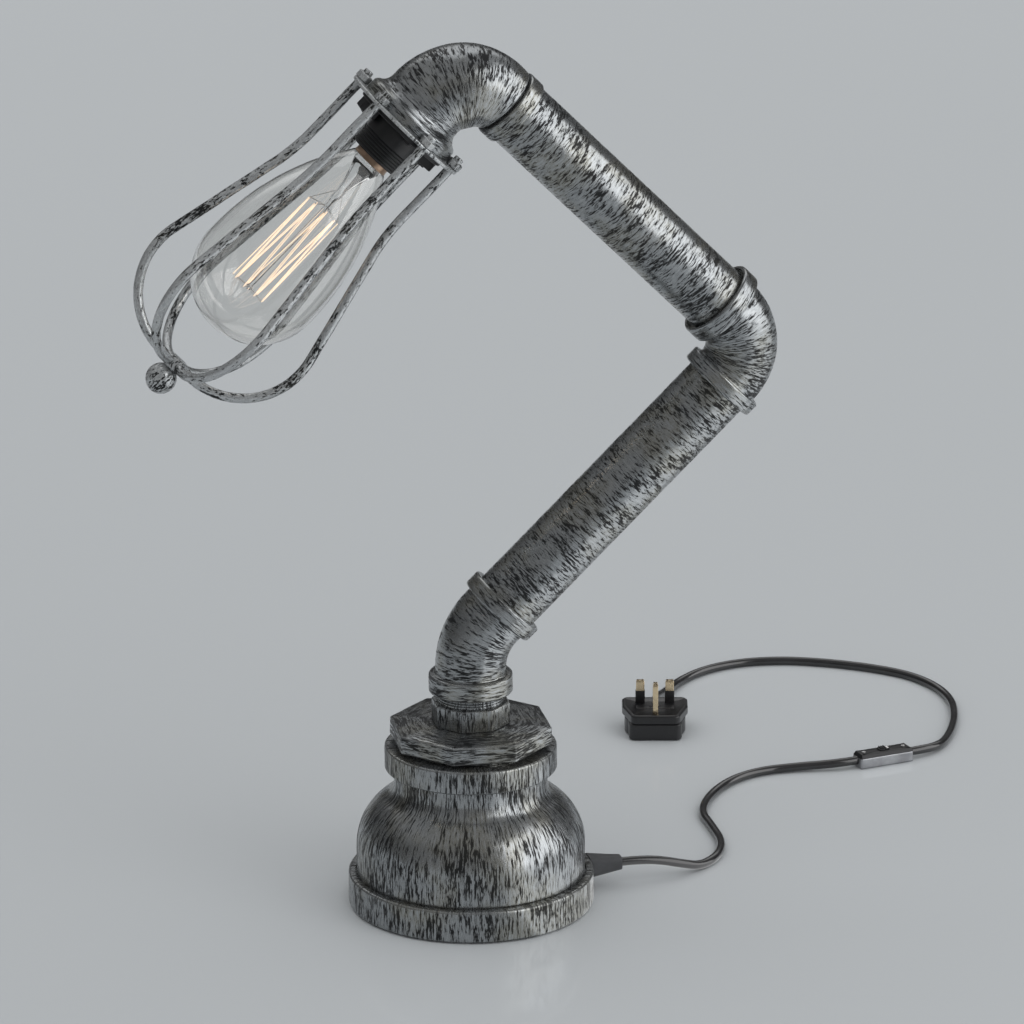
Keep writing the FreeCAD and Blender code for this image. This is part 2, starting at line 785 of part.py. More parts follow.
def nipple():
    """A short octagonal nipple; the lower elbow turns on its upper thread."""
    bottom = OCTAGON_TOP - d.nipple_lower_length
    edge = d.nipple_edge
    shank = turned("nipple_shank", [
        (d.nipple_bore, bottom),
        (d.nipple_neck_radius - edge, bottom),
        (d.nipple_neck_radius, bottom + edge),
        (d.nipple_neck_radius, NIPPLE_TOP - edge),
        (d.nipple_neck_radius - edge, NIPPLE_TOP),
        (d.nipple_bore, NIPPLE_TOP),
    ])
    octagon = prism("nipple_octagon", 8, d.nipple_flats, d.nipple_octagon_height, OCTAGON_TOP, HALF_OCTAGON)
    hollow = cylinder("nipple_hollow", d.nipple_bore, d.nipple_octagon_height, (0, 0, OCTAGON_TOP))
    collar = cut("nipple_collar", octagon, hollow)
    return keep("octagon_nipple", fuse("nipple_whole", shank, collar), STAND_FRAME)


# Elbows and pipes


def bend(body, name, radius, turn_angle, ring_radius, bore, subtract=False):
    """A hollow quarter or half quarter turn about a line beside the elbow's corner, towards +X."""
    tangent = radius * sine(turn_angle / 2) / cosine(turn_angle / 2)
    sketch = sketch_on(body, name + "_ring", "XY_Plane", raised(-tangent))
    circle(sketch, ring_radius)
    if bore is not None:
        circle(sketch, bore)
    axis = Part.LineSegment(Vector(radius.value, -10, 0), Vector(radius.value, 10, 0))
    geometry = sketch.addGeometry(axis, True)
    hold(sketch, "DistanceX", geometry, 1, radius)
    hold(sketch, "DistanceX", geometry, 2, radius)
    kind = "PartDesign::Groove" if subtract else "PartDesign::Revolution"
    turn = body.newObject(kind, name + "_sweep")
    turn.Profile = sketch
    turn.ReferenceAxis = (sketch, ["Axis0"])
    turn.Angle = turn_angle
    return turn


def leg_towards(turn_angle):
    """The sketch offset whose upright runs along an elbow's outlet."""
    return Placement(Vector(0, 0, 0), Rotation(Vector(0, 0, 1), -turn_angle))


def collar_leg(tangent, length, collar, collar_radius, body_radius, bore, socket, socket_depth, recess=None):
    """Profile of one straight leg of an elbow, measured from its corner, with a beaded collar.

    It is written for an outlet; an inlet has the same profile mirrored in z.
    """
    edge = d.collar_edge
    back = length - collar
    corners = [
        (bore, tangent),
        (body_radius, tangent),
        (body_radius, back),
        (collar_radius - edge, back),
        (collar_radius, back + edge, -edge),
        (collar_radius, length - edge),
        (collar_radius - edge, length, -edge),
    ]
    floor = length - socket_depth
    if recess is not None:
        recess_radius, recess_depth = recess
        corners += [
            (recess_radius, length),
            (recess_radius, length - recess_depth),
            (socket, length - recess_depth),
        ]
    else:
        corners.append((socket, length))
    corners += [(socket, floor), (bore, floor)]
    return corners


def mirrored(corners):
    """The same profile upside down, walked in the same order, so that its arcs bulge the other way."""
    flipped = []
    for corner in corners:
        if len(corner) == 2:
            flipped.append((corner[0], -size(corner[1])))
        else:
            flipped.append((corner[0], -size(corner[1]), -size(corner[2])))
    return flipped


def elbow(name, radius, turn_angle, inlet, outlet):
    body = body_named(name)
    tangent = radius * math.tan(math.radians(turn_angle / 2))
    bend(body, name + "_bend", radius, turn_angle, d.elbow_body_radius, d.elbow_bore)
    inlet_corners = collar_leg(tangent, *inlet)
    revolve(body, name + "_inlet", mirrored(inlet_corners))
    revolve(body, name + "_outlet", collar_leg(tangent, *outlet), leg_towards(turn_angle))
    return body


def lower_elbow():
    inlet = (
        d.lower_inlet, d.lower_inlet_collar, d.collar_radius, d.elbow_body_radius, d.elbow_bore,
        d.nipple_neck_radius + d.swivel_clearance,
        d.lower_inlet - (d.elbow_height - NIPPLE_TOP - d.swivel_gap),
    )
    outlet = (
        d.lower_outlet, d.lower_outlet_collar, d.collar_radius, d.elbow_body_radius, d.elbow_bore,
        d.pipe_radius + d.thread_clearance, d.lower_outlet_collar - d.socket_lip,
    )
    body = elbow("lower_elbow_body", d.lower_bend, 45.0, inlet, outlet)
    return keep("lower_elbow", body, LOWER_ELBOW_FRAME)


def middle_elbow():
    inlet = (
        d.middle_inlet, d.middle_inlet_collar, d.collar_radius, d.elbow_body_radius, d.elbow_bore,
        d.pipe_radius + d.swivel_clearance, d.middle_inlet_collar - d.socket_lip,
    )
    outlet = (
        d.middle_outlet, d.middle_outlet_collar, d.collar_radius, d.elbow_body_radius, d.elbow_bore,
        d.pipe_radius + d.thread_clearance, d.middle_outlet_collar - d.socket_lip,
        (d.recess_radius, d.recess_depth),
    )
    body = elbow("middle_elbow_body", d.middle_bend, 90.0, inlet, outlet)
    return keep("middle_elbow", body, MIDDLE_ELBOW_FRAME)


def pipe(name, start, end, frame):
    edge = d.pipe_edge
    corners = [
        (PIPE_BORE, start),
        (d.pipe_radius - edge, start),
        (d.pipe_radius, start + edge),
        (d.pipe_radius, end - edge),
        (d.pipe_radius - edge, end),
        (PIPE_BORE, end),
    ]
    return keep(name, turned(name + "_tube", corners), frame)


def lower_pipe():
    """Screwed into the lower elbow; its upper end turns in the middle elbow."""
    start = d.lower_outlet - d.lower_outlet_collar + d.socket_lip + d.thread_clearance
    end = d.lower_centres - (d.middle_inlet - d.middle_inlet_collar + d.socket_lip) - d.swivel_gap
    return pipe("lower_pipe", start, end, LOWER_PIPE_FRAME)


def upper_pipe():
    start = d.middle_outlet - d.middle_outlet_collar + d.socket_lip + d.thread_clearance
    end = d.upper_centres - d.top_inlet - d.pipe_band_gap
    return pipe("upper_pipe", start, end, UPPER_PIPE_FRAME)


def pipe_band():
    """A plain band at the end of the upper pipe, beside the gap in which the head turns."""
    end = d.upper_centres - d.top_inlet - d.pipe_band_gap
    start = end - d.pipe_band_width
    inner = d.pipe_radius + d.thread_clearance
    edge = d.pipe_band_edge
    corners = [
        (inner, start),
        (d.pipe_band_radius - edge, start),
        (d.pipe_band_radius, start + edge, -edge),
        (d.pipe_band_radius, end - edge),
        (d.pipe_band_radius - edge, end, -edge),
        (inner, end),
    ]
    return keep("pipe_band", turned("band", corners), UPPER_PIPE_FRAME)


def top_elbow():
    """A lofted casting: the tube swells from the pipe's size to the wide mouth of the lamp."""
    body = body_named("top_elbow_body")
    tangent = d.top_bend
    sections = []
    stations = int(d.top_stations.value)
    for number in range(stations + 1):
        share = number / stations
        angle = 90.0 * share
        swell = sine(90.0 * min(1.0, share / d.top_swell_end.value))
        radius = d.top_throat_radius + (d.top_body_radius - d.top_throat_radius) * swell
        centre = Vector(d.top_bend.value, 0, -tangent.value)
        arm = tilt(angle).multVec(Vector(-d.top_bend.value, 0, 0))
        sketch = sketch_on(body, "top_section_%d" % number, "XY_Plane", Placement(centre + arm, tilt(angle)))
        circle(sketch, radius)
        sections.append(sketch)
    loft = body.newObject("PartDesign::AdditiveLoft", "top_loft")
    loft.Profile = sections[0]
    loft.Sections = [(sketch, [""]) for sketch in sections[1:]]
    loft.Ruled = False
    shoulder = d.top_outlet - d.top_collar_height
    edge = d.top_collar_edge
    foot = d.top_collar_foot
    revolve(body, "top_mouth", [
        (0, tangent),
        (d.top_body_radius, tangent),
        (d.top_body_radius, shoulder - foot),
        (d.top_body_radius + foot, shoulder, foot),
        (d.top_collar_radius - edge, shoulder),
        (d.top_collar_radius, shoulder + edge, -edge),
        (d.top_collar_radius, d.top_outlet),
        (0, d.top_outlet),
    ], leg_towards(90.0))
    neck_edge = d.pipe_edge
    spigot = PIPE_BORE - d.swivel_clearance
    revolve(body, "top_neck", [
        (0, -tangent),
        (d.top_throat_radius, -tangent),
        (d.top_throat_radius, -d.top_inlet),
        (spigot, -d.top_inlet),
        (spigot, -(d.top_inlet + d.top_spigot_length) + neck_edge),
        (spigot - neck_edge, -(d.top_inlet + d.top_spigot_length)),
        (0, -(d.top_inlet + d.top_spigot_length)),
    ])
    bend(body, "top_bore", d.top_bend, 90.0, d.top_bore, None, subtract=True)
    mouth = cylinder("top_mouth_bore", d.mouth_bore, d.top_outlet - d.top_bend)
    mouth.Placement = Placement(Vector(d.top_bend.value, 0, 0), tilt(90))
    throat = cylinder("top_throat_bore", d.top_spigot_bore, d.top_spigot_length + d.top_inlet,
                      (0, 0, -(d.top_inlet + d.top_spigot_length)))
    screw_holes = []
    for number in range(2):
        hole = cylinder("top_screw_hole_%d" % number, SCREW_WAY, d.holder_screw_depth)
        side = Vector(0, d.holder_screw_circle.value * (1 - 2 * number), 0)
        hole.Placement = Placement(Vector(d.top_outlet.value, 0, 0) + side, tilt(-90))
        screw_holes.append(hole)
    return keep("top_elbow", cut("top_elbow_bored", body, mouth, throat, *screw_holes), TOP_ELBOW_FRAME)


# Cage


def cage_ring():
    """A flat ring with a hole for each wire and two for the holder's screws."""
    body = body_named("ring")
    sketch = sketch_on(body, "ring_outline", "XY_Plane")
    circle(sketch, d.ring_radius)
    circle(sketch, d.mouth_bore)
    pad = body.newObject("PartDesign::Pad", "ring_pad")
    pad.Profile = sketch
    bind(pad, Length=d.ring_thickness)
    hole_sketch = sketch_on(body, "ring_hole", "XY_Plane")
    first_hole = (d.wire_circle * cosine(ROD_TURN), d.wire_circle * sine(ROD_TURN))
    circle(hole_sketch, d.wire_radius + d.thread_clearance, first_hole)
    hole = body.newObject("PartDesign::Pocket", "ring_hole_pocket")
    hole.Profile = hole_sketch
    hole.Type = "ThroughAll"
    hole.Reversed = True
    doc.recompute()
    pattern = body.newObject("PartDesign::PolarPattern", "ring_holes")
    pattern.Originals = [hole]
    pattern.Axis = (hole_sketch, ["N_Axis"])
    pattern.Angle = 360
    pattern.Occurrences = int(d.wire_count.value)
    body.Tip = pattern
    ways = []
    for number in range(2):
        side = d.holder_screw_circle * (1 - 2 * number)
        ways.append(cylinder("ring_screw_way_%d" % number, SCREW_WAY,
                             d.ring_thickness, (0, side, 0)))
    ring = cut("ring_drilled", body, *ways)
    ring.Placement = Placement(Vector(0, 0, -d.ring_thickness.value), Rotation())
    return keep("cage_ring", ring, CAGE_FRAME)


def cage_wire(number):
    """One bent rod: straight through the ring, out along the flare, round the belly to the hub."""
    body = body_named("wire_%d" % number)
    flare_sine = sine(d.wire_flare)
    flare_cosine = cosine(d.wire_flare)
    belly_centre = (d.cage_radius - d.belly_bend, d.cage_reach - d.belly_bend)
    belly_start = (
        belly_centre[0] + d.belly_bend * flare_cosine,
        belly_centre[1] - d.belly_bend * flare_sine,
    )
    bow = d.root_bend * (1 - flare_cosine)
    climb = (belly_start[0] - d.wire_circle - bow) * flare_cosine / flare_sine
    root_end = (d.wire_circle + bow, belly_start[1] - climb)
    root_start = (d.wire_circle, root_end[1] - d.root_bend * flare_sine)
    path = sketch_on(body, "wire_path_%d" % number, "XZ_Plane")
    outline(path, [
        (d.wire_circle, -d.wire_stud),
        root_start,
        (root_end[0], root_end[1], d.root_bend),
        belly_start,
        (belly_centre[0], d.cage_reach, -d.belly_bend),
        (d.hub_flats / 2, d.cage_reach),
    ], closed=False)
    section = sketch_on(body, "wire_section_%d" % number, "XY_Plane", raised(-d.wire_stud))
    circle(section, d.wire_radius, (d.wire_circle, 0))
    doc.recompute()
    sweep = body.newObject("PartDesign::AdditivePipe", "wire_sweep_%d" % number)
    sweep.Profile = section
    sweep.Spine = path
    turn = Rotation(Vector(0, 0, 1), 360.0 / d.wire_count.value * number)
    body.Placement = Placement(Vector(0, 0, 0), turn)
    return keep("cage_wire_%d" % (number + 1), body, ROD_FRAME)


def cage_nuts():
    """A nut on the back of the ring for each wire."""
    nuts = []
    wire_way = d.wire_radius + d.thread_clearance
    for number in range(int(d.wire_count.value)):
        bottom = -(d.ring_thickness + d.nut_height)
        blank = prism("cage_nut_blank_%d" % number, 6, d.nut_flats, d.nut_height, bottom, HALF_HEXAGON)
        bore = cylinder("cage_nut_bore_%d" % number, wire_way, d.nut_height, (0, 0, bottom))
        nut = cut("cage_nut_%d" % number, blank, bore)
        turn = Rotation(Vector(0, 0, 1), 360.0 / d.wire_count.value * number)
        nut.Placement = Placement(turn.multVec(Vector(d.wire_circle.value, 0, 0)), turn)
        nuts.append(nut)
    return keep("cage_nuts", group("cage_nut_set", nuts), ROD_FRAME)


def cage_hub():
    """A six-sided hub; each wire butts on one flat."""
    hub = prism("hub", 6, d.hub_flats, d.hub_height, d.cage_reach - d.hub_height / 2, HALF_HEXAGON)
    return keep("cage_hub", hub, ROD_FRAME)


def cage_knob():
    """The ball on the end of the cage, with a flat where it seats on the hub."""
    seat = d.cage_reach + d.hub_height / 2
    drop = root(d.knob_radius * d.knob_radius - d.knob_seat_radius * d.knob_seat_radius)
    centre = seat + drop
    corners = [
        (0, seat),
        (d.knob_seat_radius, seat),
        (d.knob_radius, centre, -d.knob_radius),
        (0, centre + d.knob_radius, -d.knob_radius),
    ]
    return keep("cage_knob", turned("knob", corners), CAGE_FRAME)


# Lampholder and bulb


HOLDER_SEAT = d.holder_disc_thickness
CUP_FLOOR = HOLDER_SEAT + d.holder_floor
SKIRT_START = HOLDER_SEAT + d.holder_body_length
SKIRT_END = SKIRT_START + d.skirt_length
GLASS_START = SKIRT_END + d.cap_show
CAP_START = GLASS_START - d.cap_length
LOW_HOOP = GLASS_START + d.filament_top + d.filament_length - d.hoop_thickness * 2


def holder_bracket():
    """The black disc under the ring, with two square lugs."""
    disc = cylinder("holder_disc", d.holder_disc_radius, d.holder_disc_thickness)
    parts = [disc]
    lug_depth = d.holder_lug_outer - d.holder_lug_inner
    for side in (1, -1):
        middle = (d.holder_lug_inner + lug_depth / 2) * side
        name = "holder_lug_%s" % ("up" if side > 0 else "down")
        parts.append(box(name, lug_depth, d.holder_lug_width, d.holder_lug_drop, (middle, 0, HOLDER_SEAT)))
    ways = [cylinder("holder_cable_way", d.cable_way_radius, d.holder_disc_thickness)]
    for number in range(2):
        side = d.holder_screw_circle * (1 - 2 * number)
        ways.append(cylinder("holder_screw_way_%d" % number, SCREW_WAY,
                             d.holder_disc_thickness, (0, side, 0)))
    return keep("holder_bracket", cut("bracket", fuse("bracket_blank", *parts), *ways), CAGE_FRAME)


def holder_screws():
    """Two pan-head screws through the bracket and the ring into the top elbow."""
    screws = []
    reach = d.ring_thickness + d.holder_screw_bite
    slot_floor = HOLDER_SEAT + d.screw_head_height - d.slot_depth
    for number in range(2):
        side = d.holder_screw_circle * (1 - 2 * number)
        shank = cylinder("holder_shank_%d" % number, d.screw_radius, reach + HOLDER_SEAT, (0, side, -reach))
        place = (0, side, HOLDER_SEAT)
        head = cylinder("holder_head_%d" % number, d.screw_head_radius, d.screw_head_height, place)
        slot = screw_slot("holder_slot_%d" % number, (0, side, slot_floor))
        blank = fuse("holder_screw_blank_%d" % number, shank, head)
        screws.append(cut("holder_screw_%d" % number, blank, slot))
    return keep("holder_screws", group("holder_screw_set", screws), CAGE_FRAME)


def holder_body():
    """The smooth upper half of the lampholder: a cup that seats on the bracket."""
    inner = d.holder_radius - d.holder_wall
    edge = d.holder_edge
    corners = [
        (d.cable_way_radius, HOLDER_SEAT),
        (d.holder_radius - edge, HOLDER_SEAT),
        (d.holder_radius, HOLDER_SEAT + edge),
        (d.holder_radius, SKIRT_START),
        (inner, SKIRT_START),
        (inner, CUP_FLOOR),
        (d.cable_way_radius, CUP_FLOOR),
    ]
    return keep("holder_body", turned("holder_cup", corners), CAGE_FRAME)


def holder_skirt():
    """The ribbed lower half, which screws on to the cup and holds the bulb's cap."""
    inner = d.holder_radius - d.holder_wall
    count = int(d.skirt_ribs.value)
    pitch = d.skirt_length / count
    corners = [(inner, SKIRT_START), (d.holder_radius, SKIRT_START)]
    for number in range(count):
        low = SKIRT_START + pitch * number
        corners.append((d.holder_radius, low + pitch * 0.45))
        corners.append((d.holder_radius - d.rib_depth, low + pitch * 0.6))
        corners.append((d.holder_radius - d.rib_depth, low + pitch * 0.85))
        if number < count - 1:
            corners.append((d.holder_radius, low + pitch))
    corners.append((d.holder_radius - d.rib_depth, SKIRT_END))
    corners.append((inner, SKIRT_END))
    return keep("holder_skirt", turned("skirt", corners), CAGE_FRAME)


def holder_latch():
    """The small black latch with a hole on the side of the holder."""
    reach = d.holder_radius + d.latch_height / 2 - d.latch_sink
    start = SKIRT_START - d.latch_start
    block = box("latch_block", d.latch_height, d.latch_width, d.latch_length, (-reach, 0, start))
    clear = cylinder("latch_seat", d.holder_radius + d.seat_clearance, d.latch_length, (0, 0, start))
    eye_place = (-reach - d.latch_height, 0, SKIRT_START - d.latch_eye_start)
    eye = cylinder("latch_eye", d.latch_eye_radius, d.latch_height * 2, eye_place, tilt(90))
    return keep("holder_latch", cut("latch", block, clear, eye), CAGE_FRAME)


def holder_contacts():
    """A spring tongue in the middle of the cup and a threaded shell round the cap."""
    shell_outer = d.holder_radius - d.holder_wall
    shell_inner = d.cap_radius + d.cap_clearance
    start = CUP_FLOOR + d.contact_shell_start
    end = SKIRT_END - d.holder_floor
    shell = turned("contact_shell", [
        (shell_inner, start),
        (shell_outer, start),
        (shell_outer, end),
        (shell_inner, end),
    ])
    top = CAP_START - d.seat_clearance
    tongue = turned("contact_tongue", [
        (0, CUP_FLOOR),
        (d.tongue_radius, CUP_FLOOR),
        (d.tongue_radius, CUP_FLOOR + d.tongue_thickness),
        (d.tongue_tip_radius, top),
        (0, top),
    ])
    return keep("holder_contacts", group("holder_contact_set", [shell, tongue]), CAGE_FRAME)


def bulb_cap():
    """The screw cap: a thin threaded shell with a plain neck that shows below the skirt."""
    outer = d.cap_radius
    inner = outer - d.cap_wall
    shell_start = CAP_START + d.cap_shell_start
    corners = [(inner, shell_start), (outer, shell_start)]
    for number in range(int(d.cap_threads.value)):
        low = shell_start + d.cap_pitch * (number + 0.2)
        corners.append((outer, low))
        corners.append((outer - d.cap_thread_depth, low + d.cap_pitch * 0.4))
    corners += [
        (outer, GLASS_START - d.cap_show + d.cap_wall),
        (outer + d.cap_flare, GLASS_START),
        (inner, GLASS_START),
    ]
    return keep("bulb_cap", turned("cap", corners), CAGE_FRAME)


def bulb_insulator():
    """The black glass cone between the cap and its end contact."""
    start = CAP_START + d.contact_height
    inside_cap = d.cap_radius - d.cap_wall
    corners = [
        (0, start),
        (d.contact_radius, start),
        (inside_cap, CAP_START + d.cap_shell_start),
        (inside_cap, CAP_START + d.insulator_end),
        (0, CAP_START + d.insulator_end),
    ]
    return keep("bulb_insulator", turned("insulator", corners), CAGE_FRAME)


def bulb_contact():
    foot = d.contact_radius - d.contact_step
    top = CAP_START + d.contact_height
    corners = [(0, CAP_START), (foot - d.contact_step, CAP_START), (foot, top), (0, top)]
    return keep("bulb_contact", turned("end_contact", corners), CAGE_FRAME)


def bulb_glass():
    """A pear-shaped envelope: a long flank arc into a round end, as a thin closed shell."""
    wall = d.glass_wall
    neck = d.bulb_neck_radius
    end_radius = d.bulb_radius
    widest = GLASS_START + d.bulb_shoulder
    glass = [
        (neck, GLASS_START),
        (end_radius, widest, -d.bulb_flank_bend),
        (0, widest + end_radius, -end_radius),
        (0, widest + end_radius - wall),
        (end_radius - wall, widest, end_radius - wall),
        (neck - wall, GLASS_START, d.bulb_flank_bend - wall),
    ]
    return keep("bulb_glass", turned("envelope", glass), CAGE_FRAME)


def bulb_stem():
    """The glass foot inside the neck and the rod that carries the filament's hooks."""
    foot = d.bulb_neck_radius - d.glass_wall - d.thread_clearance
    rod = d.stem_rod_radius
    rod_end = GLASS_START + d.filament_top + d.filament_length
    corners = [
        (0, GLASS_START),
        (foot, GLASS_START),
        (foot * 0.75, GLASS_START + d.stem_length * 0.12),
        (foot * 0.5, GLASS_START + d.stem_length * 0.45),
        (rod + 1.5, GLASS_START + d.stem_length * 0.8),
        (rod, GLASS_START + d.stem_length),
        (rod, rod_end),
        (0, rod_end),
    ]
    return keep("bulb_stem", turned("stem", corners), CAGE_FRAME)


def filament_supports():
    """Two small hoops of support wire on the rod, which the filament hangs between."""
    hoops = []
    rod = d.stem_rod_radius + d.thread_clearance
    for name, radius, height in (
        ("top", d.filament_top_radius, GLASS_START + d.filament_top),
        ("low", d.filament_low_radius, LOW_HOOP),
    ):
        top = height + d.hoop_thickness
        corners = [(rod, height), (radius, height), (radius, top), (rod, top)]
        hoops.append(turned("hoop_" + name, corners))
    return keep("filament_supports", group("hoop_pair", hoops), CAGE_FRAME)


def bulb_filament():
    """Long strands in a slightly conical cage, hung between the two hoops."""
    count = int(d.filament_strands.value)
    start = GLASS_START + d.filament_top + d.hoop_thickness + d.hoop_gap
    end = LOW_HOOP - d.hoop_gap
    strands = []
    for number in range(count):
        angle = 360.0 / count * number
        foot = Vector((d.filament_top_radius - d.strand_inset).value, 0, start.value)
        tip = Vector((d.filament_low_radius - d.strand_inset).value, 0, end.value)
        way = tip - foot
        strand = cylinder("strand_%d" % number, d.strand_radius, way.Length)
        lay = Placement(foot, Rotation(Vector(0, 0, 1), way))
        strand.Placement = Placement(Vector(0, 0, 0), Rotation(Vector(0, 0, 1), angle)).multiply(lay)
        strands.append(strand)
    return keep("bulb_filament", group("strand_set", strands), CAGE_FRAME)


# Cords


def tube(label, points, radius, share=0.45):
    """A round tube along straight runs joined by tangent arcs, which take a share of the shorter run."""
    points = [Vector(*point) for point in points]
    edges = []
    last = points[0]
    length = 0.0
    radii = []
    for before, corner, after in zip(points, points[1:], points[2:]):
        inward = corner - before
        outward = after - corner
        half = inward.getAngle(outward) / 2
        cut_back = share * min(inward.Length, outward.Length)
        bend_radius = cut_back / math.tan(half)
        radii.append(bend_radius)
        start = corner - Vector(inward).normalize() * cut_back
        end = corner + Vector(outward).normalize() * cut_back
        towards = (Vector(outward).normalize() - Vector(inward).normalize()).normalize()
        middle = corner + towards * (bend_radius / math.cos(half) - bend_radius)
        edges.append(Part.LineSegment(last, start).toShape())
        edges.append(Part.Arc(start, middle, end).toShape())
        length += (start - last).Length + 2 * half * bend_radius
        last = end
    edges.append(Part.LineSegment(last, points[-1]).toShape())
    length += (points[-1] - last).Length
    spine = Part.Wire(edges)
    direction = points[1] - points[0]
    section = Part.Wire(Part.Circle(points[0], direction, radius).toShape())
    solid = spine.makePipeShell([section], True, False)
    wanted = math.pi * radius ** 2 * length
    if abs(solid.Volume - wanted) > 0.01 * wanted:
        raise ValueError("%s has volume %.0f, not %.0f" % (label, solid.Volume, wanted))
    print("%s: length %.1f, centreline radii %s" % (label, length, " ".join("%.0f" % bend for bend in radii)))
    piece = doc.addObject("Part::Feature", label)
    piece.Shape = solid
    return keep(label, piece, Placement())


def as_tuple(place):
    return (place.x, place.y, place.z)


def free_cords():
    """The two stretches of mains cord that lie on the table."""
    radius = d.cord_radius.value
    gland_end = (d.base_radius + d.relief_length).value
    gland_exit = GLAND_FRAME.multVec(Vector(gland_end, 0, 0))
    half_switch = d.switch_length.value / 2
    height = d.switch_cord_height.value
    switch_in = [SWITCH_FRAME.multVec(Vector(-half_switch - LEAD_IN, 0, height)),
                 SWITCH_FRAME.multVec(Vector(-half_switch, 0, height))]
    switch_out = [SWITCH_FRAME.multVec(Vector(half_switch, 0, height)),
                  SWITCH_FRAME.multVec(Vector(half_switch + LEAD_OUT, 0, height))]
    plug_back = (d.plug_length / 2 + d.plug_outlet_length).value
    plug_in = [PLUG_FRAME.multVec(Vector(0, plug_back + LEAD_IN, d.plug_cord_height.value)),
               PLUG_FRAME.multVec(Vector(0, plug_back, d.plug_cord_height.value))]
    first = [as_tuple(gland_exit)] + CORD_TO_SWITCH + [as_tuple(place) for place in switch_in]
    second = [as_tuple(place) for place in switch_out] + CORD_TO_PLUG + [as_tuple(place) for place in plug_in]
    tube("mains_cord_1", first, radius)
    tube("mains_cord_2", second, radius)


def inner_cables():
    """The cable inside the lamp, in four lengths that part where the joints turn."""
    radius = d.cord_radius.value
    gap = d.swivel_gap.value
    gland_inner = d.base_radius.value - d.gland_neck_length.value
    low = d.gland_height.value

    def at_gland(reach, height):
        return as_tuple(GLAND_FRAME.multVec(Vector(reach, 0, height - low)))

    nipple_end = NIPPLE_TOP.value
    tube("cable_in_stand", [
        at_gland(gland_inner, low), at_gland(59.5, 17), at_gland(53.5, 23), at_gland(50, 33),
        at_gland(46, 48), at_gland(34, 66), at_gland(16, 86), at_gland(3, 108), (0, 0, 132),
        (0, 0, nipple_end),
    ], radius)
    lower_end = LOWER_CORNER + UP_PIPE * (d.lower_centres - d.middle_inlet).value
    tube("cable_in_lower_pipe", [
        (0, 0, nipple_end + gap), as_tuple(LOWER_CORNER), as_tuple(lower_end),
    ], radius, 0.8)
    upper_end = TOP_CORNER - BACK_PIPE * (d.top_inlet + d.pipe_band_gap / 2).value
    tube("cable_in_upper_pipe", [
        as_tuple(lower_end + UP_PIPE * gap), as_tuple(MIDDLE_CORNER), as_tuple(upper_end),
    ], radius, 0.8)
    holder_place = CAGE_FRAME.multVec(Vector(0, 0, CUP_FLOOR.value))
    tube("cable_in_head", [
        as_tuple(upper_end + BACK_PIPE * gap), as_tuple(TOP_CORNER), as_tuple(holder_place),
    ], radius, 0.8)


# In-line switch


SWITCH_SCREW_WAY = d.switch_screw_radius + d.thread_clearance


def side_name(name, side):
    return name + ("_far" if side > 0 else "_near")


def switch_base():
    """The open lower shell."""
    blank = extruded("switch_base_blank", rounded_rectangle(d.switch_length, d.switch_width, d.switch_corner),
                     d.switch_base_height)
    hollow = box("switch_hollow", d.switch_length - d.switch_end_wall * 2, d.switch_width - d.switch_wall * 2,
                 d.switch_base_height, (0, 0, d.switch_wall))
    ways = []
    for side in (1, -1):
        place = (d.switch_screw_spread / 2 * side, 0, 0)
        ways.append(cylinder(side_name("switch_way", side), SWITCH_SCREW_WAY, d.switch_wall, place))
    return keep("switch_base", cut("switch_shell", blank, hollow, *ways), SWITCH_FRAME)


def switch_cover():
    """The black lid, sloped on its long sides, with the slider's slot."""
    body = body_named("switch_lid")
    low = sketch_on(body, "lid_low", "XY_Plane", raised(d.switch_base_height))
    outline(low, rounded_rectangle(d.switch_length, d.switch_width, d.switch_corner))
    high = sketch_on(body, "lid_high", "XY_Plane", raised(d.switch_base_height + d.switch_cover_height))
    top_length = d.switch_length - d.switch_end_slope * 2
    top_width = d.switch_width - d.switch_side_slope * 2
    outline(high, rounded_rectangle(top_length, top_width, d.switch_corner))
    loft = body.newObject("PartDesign::AdditiveLoft", "lid_loft")
    loft.Profile = low
    loft.Sections = [(high, [""])]
    loft.Ruled = True
    clear = d.slider_clearance
    slot = box("lid_slot", d.slider_stem + d.slider_travel + clear * 2, d.slider_stem_width + clear * 2,
               d.switch_cover_height, (d.slider_travel / 2, 0, d.switch_base_height))
    ways = []
    for side in (1, -1):
        place = (d.switch_screw_spread / 2 * side, 0, d.switch_base_height)
        ways.append(cylinder(side_name("lid_way", side), SWITCH_SCREW_WAY, d.switch_screw_rise, place))
    return keep("switch_cover", cut("switch_lid_slotted", body, slot, *ways), SWITCH_FRAME)


def switch_screws():
    screws = []
    for side in (1, -1):
        place = (d.switch_screw_spread / 2 * side, 0, 0)
        screws.append(cylinder(side_name("switch_screw", side), d.switch_screw_radius,
                               d.switch_base_height + d.switch_screw_rise, place))
    return keep("switch_screws", group("switch_screw_pair", screws), SWITCH_FRAME)


def switch_slider():
    """The sliding thumb piece: a knob above the lid, a stem in the slot and a foot under the lid."""
    clear = d.slider_clearance
    knob_bottom = d.switch_base_height + d.switch_cover_height + clear
    foot_top = d.switch_base_height - clear
    knob = extruded("slider_knob", rounded_rectangle(d.slider_length, d.slider_width, d.switch_corner),
                    d.slider_height, knob_bottom)
    stem_height = knob_bottom - foot_top
    stem = box("slider_stem_block", d.slider_stem, d.slider_stem_width, stem_height, (0, 0, foot_top))
    foot = box("slider_foot", d.slider_length, d.slider_width, d.slider_foot_height,
               (0, 0, foot_top - d.slider_foot_height))
    return keep("switch_slider", fuse("slider", knob, stem, foot), SWITCH_FRAME)


